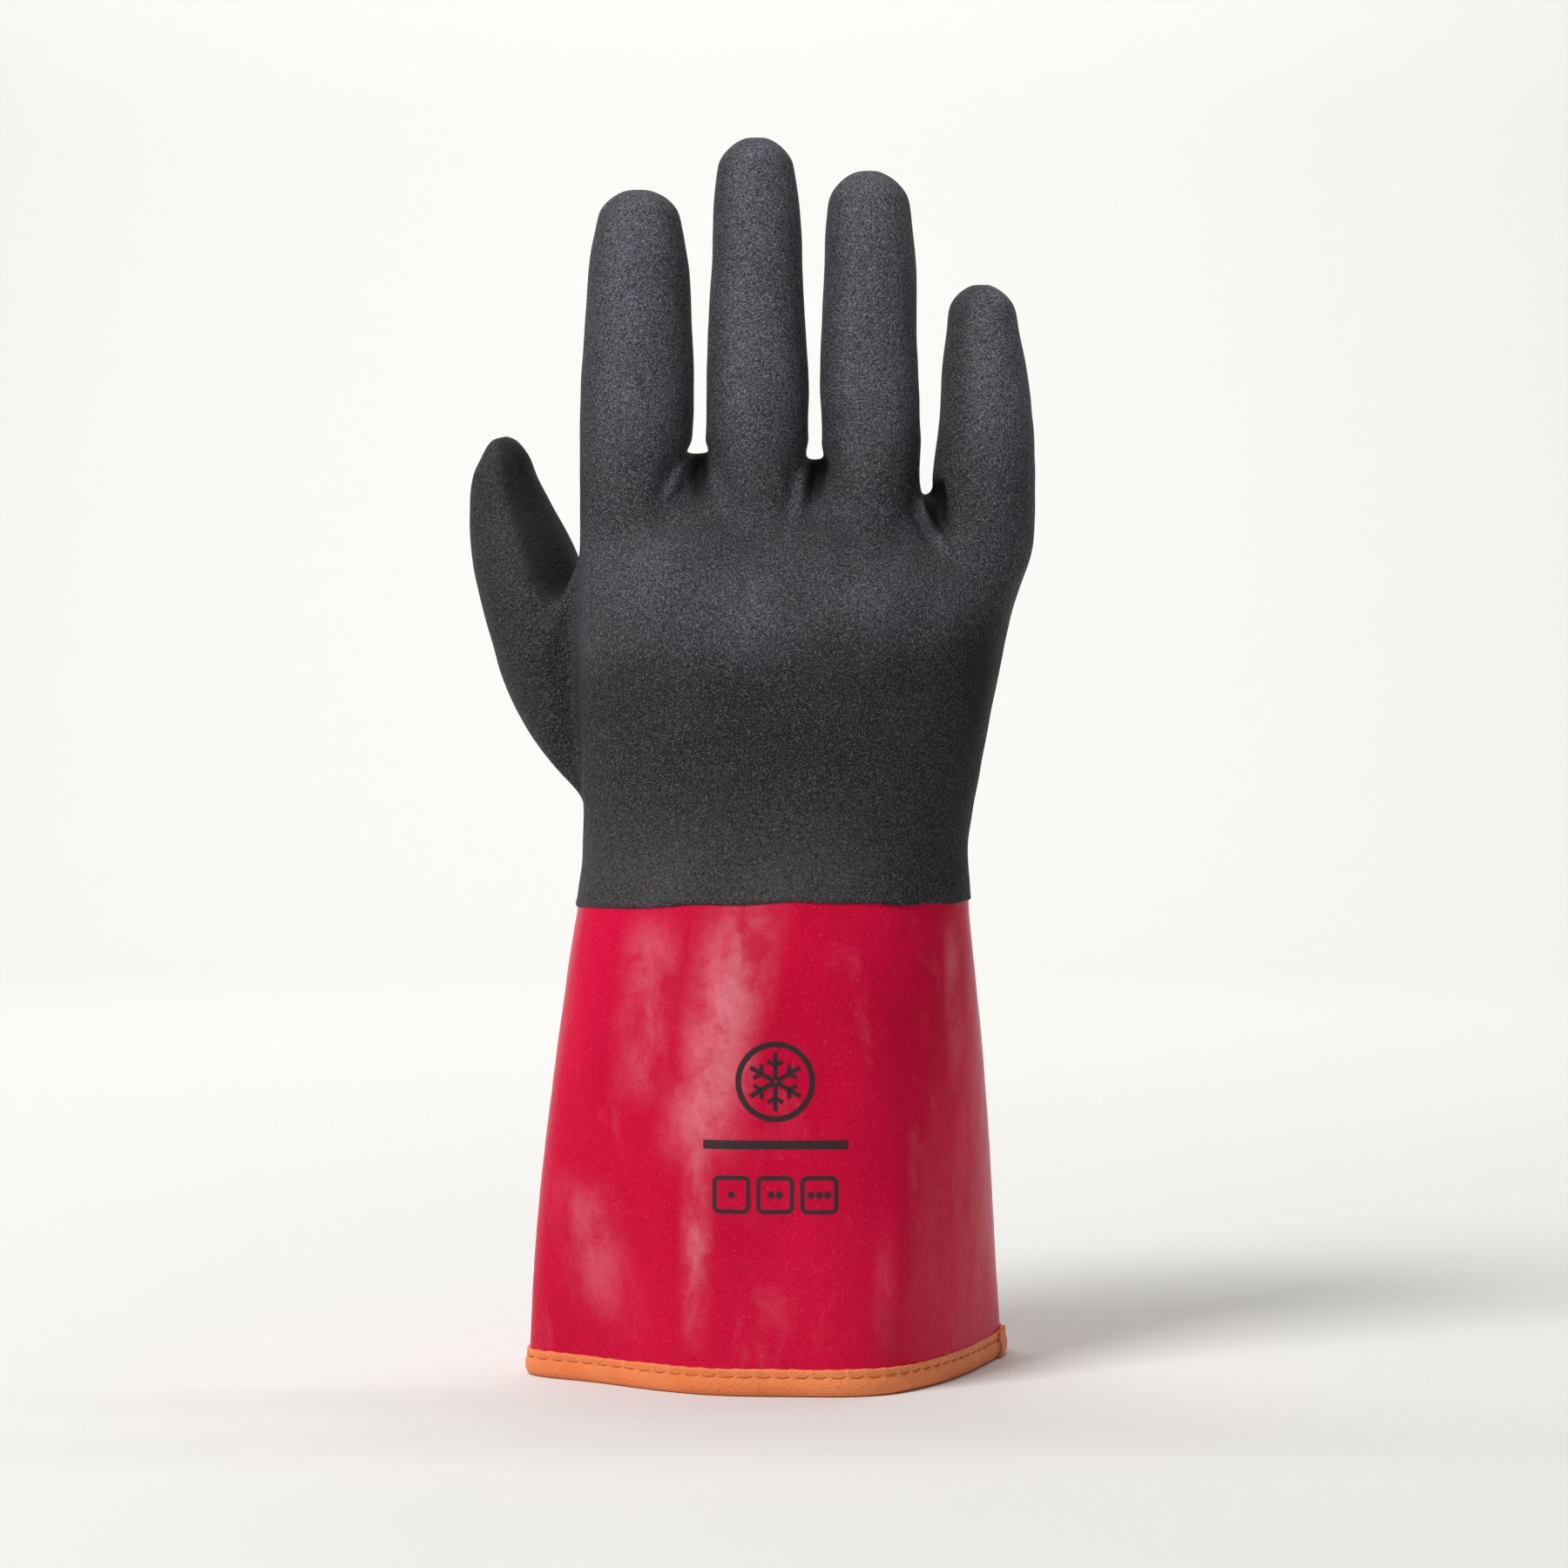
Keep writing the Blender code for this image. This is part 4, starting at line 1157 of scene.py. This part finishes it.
def capsule(points, radius, sides=8):
    """A thread's stretch along points (with outward directions): rounded and thinner at both ends."""
    places, faces = [], []
    n = len(points)
    for i, (centre, out) in enumerate(points):
        ends = min(i, n - 1 - i)
        size = radius * (0.35, 0.8, 1.0)[min(ends, 2)]
        before, after = points[max(i - 1, 0)][0], points[min(i + 1, n - 1)][0]
        along = (after - before) / np.linalg.norm(after - before)
        up = np.cross(along, out)
        for k in range(sides):
            angle = 2 * math.pi * k / sides
            places.append(centre + (out * math.cos(angle) * 0.8 + up * math.sin(angle)) * size)
    for i in range(n - 1):
        for k in range(sides):
            q = (k + 1) % sides
            faces.append((i * sides + k, i * sides + q, (i + 1) * sides + q, (i + 1) * sides + k))
    faces.append(tuple(range(sides))[::-1])
    faces.append(tuple((n - 1) * sides + k for k in range(sides)))
    return places, faces


def hoop_at(at, outward, z):
    """Like hoop_place, at any distance along the hem; also the outward direction there."""
    place = at / hem_length * HOOP_POINTS
    i = int(math.floor(place)) % HOOP_POINTS
    j = (i + 1) % HOOP_POINTS
    share = place - math.floor(place)
    here = mix(hoop_place(i, outward, z), hoop_place(j, outward, z), share)
    out = mix(hem_out[i], hem_out[j], share)
    return here, out / np.linalg.norm(out)


def add_stitches(name, outward, node):
    places, faces = [], []
    for s in range(STITCHES):
        middle = hem_length * s / STITCHES
        slant = 0.16 + 0.08 * noise.noise(Vector((s * 0.9, 0.0, 4.0)))
        points = []
        for k in range(9):
            share = k / 8 - 0.5
            arch = 0.14 * (1 - (2 * share) ** 4) - 0.12
            z = STITCH_HEIGHT + slant * share - 0.30 * (1 - (2 * share) ** 2)
            at = middle + share * STITCH_LENGTH
            points.append(hoop_at(at, outward + math.copysign(arch, outward), z))
        more, more_faces = capsule(points, THREAD_RADIUS)
        first = len(places)
        places += more
        faces += [tuple(first + c for c in face) for face in more_faces]
    mesh = rest_mesh(name, places, faces)
    mesh.shade_smooth()
    obj = new_object(name, mesh, THREAD)
    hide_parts(node)
    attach(obj, "cuff")


add_stitches("needle_stitches", NEEDLE_OUT, "needle_thread")
add_stitches("bobbin_stitches", BOBBIN_OUT, "bobbin_thread")

# The tape's lapped end, on the right side, and the cut end of its thread.
LAP_FROM = 12.0
LAP_POINTS = 22
LAP_SPACE = 0.06
LAP_THICKNESS = 0.75
LAP_THINNING = 0.35
LAP_LIP = 0.35
LAP_SLANT = 0.5
LAP_OUTER = 12
THREAD_END_STEPS = 10


def lap_start():
    """The place along the hem where the lap's cut edge lies, on the right side."""
    right = (i for i in range(HOOP_POINTS) if hem_line[i][0] > 0)
    return min(right, key=lambda i: abs(hem_line[i][1] - LAP_FROM))


def add_lap(start):
    rings = []
    for k in range(LAP_POINTS + 1):
        i = (start + k) % HOOP_POINTS
        outline = [(d + LAP_SPACE, z) for d, z in tape_section(i)[2:LAP_OUTER]]
        swell = LAP_THICKNESS * (1 - LAP_THINNING * (k / LAP_POINTS) ** 2)
        outside = [(d + swell, z + LAP_LIP * (n < 3)) for n, (d, z) in enumerate(outline)]
        slant = LAP_SLANT * (1 - k / LAP_POINTS)
        ring = []
        for d, z in outline + outside[::-1]:
            back = slant * (z / TAPE_TOP - 0.5)
            ring.append(hoop_place(i, d, max(z, 0.02)) + np.array((0, back, 0)))
        rings.append(ring)
    m = len(rings[0])
    faces = band_faces(LAP_POINTS + 1, m, closed=False)
    half = m // 2
    for k, first in ((0, 0), (LAP_POINTS, LAP_POINTS * m)):
        for c in range(half - 1):
            face = (first + c, first + c + 1, first + m - 2 - c, first + m - 1 - c)
            faces.append(face if k == 0 else face[::-1])
    mesh = rest_mesh("tape_lap", [p for ring in rings for p in ring], faces)
    face_outwards(mesh)
    mesh.set_sharp_from_angle(angle=math.radians(50))
    obj = new_object("tape_lap", mesh, TAPE)
    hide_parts("binding_lap")
    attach(obj, "cuff")


def add_thread_end(start):
    points = []
    for k in range(THREAD_END_STEPS + 1):
        z = 0.7 + 4.6 * k / THREAD_END_STEPS
        points.append(hoop_at(hem_at[start] - 0.25 + 0.12 * math.sin(k * 0.9), 1.0, z))
    mesh = rest_mesh("thread_end", *capsule(points, THREAD_END_RADIUS))
    mesh.shade_smooth()
    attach(new_object("thread_end", mesh, PALE_THREAD), "cuff")


add_lap(lap_start())
add_thread_end(lap_start())

# --- the printed mark ---

MARK_X, MARK_Z = 2.2, 72.5
RING_RADIUS = 8.6
ARM_LENGTH = 6.7
BAR_Z, BAR_LEFT, BAR_RIGHT = 58.0, -14.5, 19.0
BOX_Z, BOX_HALF, BOX_CORNER = 46.5, 3.9, 1.1
BOX_XS = (-8.0, 2.2, 12.4)
ARM_FROM, TWIG_FROM, TWIG_LENGTH = 0.4, 3.7, 2.1
DOT_RADIUS, DOT_PITCH = 0.42, 1.9
# How wide each kind of line is.
RING_INK, ARM_INK, TWIG_INK, BAR_INK, BOX_INK, DOT_INK = 1.3, 1.05, 0.9, 2.0, 0.95, 0.84
INK_HEIGHT = 0.07
STROKE_STEP = 0.6


def stroke(points, width, closed=False):
    """A flat line of ink along points, as short quads."""
    if closed:
        points = points + points[:1]
    fine = []
    for (x0, z0), (x1, z1) in zip(points, points[1:]):
        steps = max(1, math.ceil(math.hypot(x1 - x0, z1 - z0) / STROKE_STEP))
        fine += [(mix(x0, x1, k / steps), mix(z0, z1, k / steps)) for k in range(steps)]
    if not closed:
        fine.append(points[-1])
    n = len(fine)
    rails = []
    for i, (x, z) in enumerate(fine):
        before = fine[i - 1] if closed or i else fine[0]
        after = fine[(i + 1) % n] if closed or i < n - 1 else fine[-1]
        along = Vector((after[0] - before[0], after[1] - before[1])).normalized()
        rails.append([(x - along.y * width * t, z + along.x * width * t) for t in (-0.5, 0.0, 0.5)])
    quads = []
    for i in range(n if closed else n - 1):
        j = (i + 1) % n
        for t in (0, 1):
            quads.append((rails[i][t], rails[j][t], rails[j][t + 1], rails[i][t + 1]))
    return quads


def arc(x, z, radius, start, end, steps):
    angles = [math.radians(mix(start, end, k / steps)) for k in range(steps + 1)]
    return [(x + radius * math.cos(a), z + radius * math.sin(a)) for a in angles]


def mark_quads():
    """A snow crystal in a ring, a bar, and three boxes that hold one, two and three dots."""
    quads = stroke(arc(MARK_X, MARK_Z, RING_RADIUS, 0, 360, 60)[:-1], RING_INK, closed=True)
    for k in range(6):
        angle = math.radians(30 + 60 * k)
        out = Vector((math.cos(angle), math.sin(angle)))
        tip = (MARK_X + out.x * ARM_LENGTH, MARK_Z + out.y * ARM_LENGTH)
        quads += stroke([(MARK_X + out.x * ARM_FROM, MARK_Z + out.y * ARM_FROM), tip], ARM_INK)
        for side in (-1, 1):
            twig_angle = angle + side * math.pi / 3
            twig = Vector((math.cos(twig_angle), math.sin(twig_angle)))
            root = Vector((MARK_X, MARK_Z)) + out * TWIG_FROM
            quads += stroke([tuple(root), tuple(root + twig * TWIG_LENGTH)], TWIG_INK)
    quads += stroke([(BAR_LEFT, BAR_Z), (BAR_RIGHT, BAR_Z)], BAR_INK)
    inner = BOX_HALF - BOX_CORNER
    for count, x in enumerate(BOX_XS, 1):
        outline = []
        for k, (sx, sz) in enumerate(((1, 1), (-1, 1), (-1, -1), (1, -1))):
            outline += arc(x + sx * inner, BOX_Z + sz * inner, BOX_CORNER, 90 * k, 90 * k + 90, 4)
        quads += stroke(outline, BOX_INK, closed=True)
        for d in range(count):
            dot = x + (d - (count - 1) / 2) * DOT_PITCH
            quads += stroke(arc(dot, BOX_Z, DOT_RADIUS, 0, 360, 12)[:-1], DOT_INK, closed=True)
    return quads


def add_mark():
    tree = BVHTree.FromPolygons(skin.places.tolist(), skin.quads.tolist())
    places, faces = [], []
    for quad in mark_quads():
        first = len(places)
        for x, z in quad:
            hit, normal, _, _ = tree.ray_cast(Vector((x, -200, z)), Vector((0, 1, 0)))
            if normal.y > 0:
                normal = -normal
            places.append(tuple(hit + normal * INK_HEIGHT))
        faces.append(tuple(range(first, first + 4)))
    mesh = rest_mesh("cuff_mark", places, faces)
    bm = bmesh.new()
    bm.from_mesh(mesh)
    bmesh.ops.remove_doubles(bm, verts=bm.verts, dist=0.00001)
    for face in bm.faces:
        if face.normal.y > 0:
            face.normal_flip()
    bm.to_mesh(mesh)
    bm.free()
    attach(new_object("cuff_mark", mesh, INK), "cuff")


add_mark()

# --- the camera, the light and the floor ---

CAMERA_DISTANCE = 0.870
CAMERA_X, CAMERA_Z = 0.00908, 0.1417
VIEW_WIDTH = 0.3816
SENSOR_WIDTH = 36.0
camera = bpy.data.cameras.new("camera")
camera.sensor_width = SENSOR_WIDTH
camera.lens = SENSOR_WIDTH * CAMERA_DISTANCE / VIEW_WIDTH
camera.clip_start = 0.01
camera_object = new_object("camera", camera)
camera_object.location = (CAMERA_X, -CAMERA_DISTANCE, CAMERA_Z)
camera_object.rotation_euler = (math.pi / 2, 0, 0)
bpy.context.scene.camera = camera_object


def area_light(name, place, target, size, power):
    light = bpy.data.lights.new(name, "AREA")
    light.shape = "RECTANGLE"
    light.size, light.size_y = size
    light.energy = power
    obj = new_object(name, light)
    obj.location = place
    obj.rotation_euler = (Vector(target) - Vector(place)).to_track_quat("-Z", "Y").to_euler()


area_light("key", (-1.05, -1.0, 1.75), (0, 0, 0.15), (0.8, 0.8), 42.0)
area_light("backdrop_light", (0, 0.9, 2.4), (0, 2.6, 0.8), (3.0, 0.5), 61.0)

PALE = (0.86, 0.855, 0.835, 1)
PALE_STRENGTH = 0.25
PAPER = (0.74, 0.735, 0.718, 1)
world = bpy.data.worlds.new("studio")
world.use_nodes = True
surroundings = world.node_tree.nodes["Background"].inputs
surroundings["Color"].default_value = PALE
surroundings["Strength"].default_value = PALE_STRENGTH
bpy.context.scene.world = world


def add_backdrop():
    """A pale floor that sweeps up into a wall behind the glove."""
    front, turn, radius, top, half = -8.0, 1.8, 0.8, 4.0, 6.0
    profile = [(front, 0.0)]
    steps = 24
    for k in range(steps + 1):
        angle = math.pi / 2 * k / steps
        profile.append((turn + radius * math.sin(angle), radius * (1 - math.cos(angle))))
    profile.append((turn + radius, top))
    points = [(x, y, z) for y, z in profile for x in (-half, half)]
    faces = [(2 * k, 2 * k + 1, 2 * k + 3, 2 * k + 2) for k in range(len(profile) - 1)]
    mesh = make_mesh("backdrop", np.array(points), faces)
    mesh.shade_smooth()
    material = bpy.data.materials.new("backdrop_paper")
    material.use_nodes = True
    shader = material.node_tree.nodes["Principled BSDF"]
    shader.inputs["Base Color"].default_value = PAPER
    shader.inputs["Roughness"].default_value = 0.95
    shader.inputs["Specular IOR Level"].default_value = 0.1
    new_object("backdrop", mesh, material)


add_backdrop()
bpy.context.scene.view_settings.view_transform = "Standard"
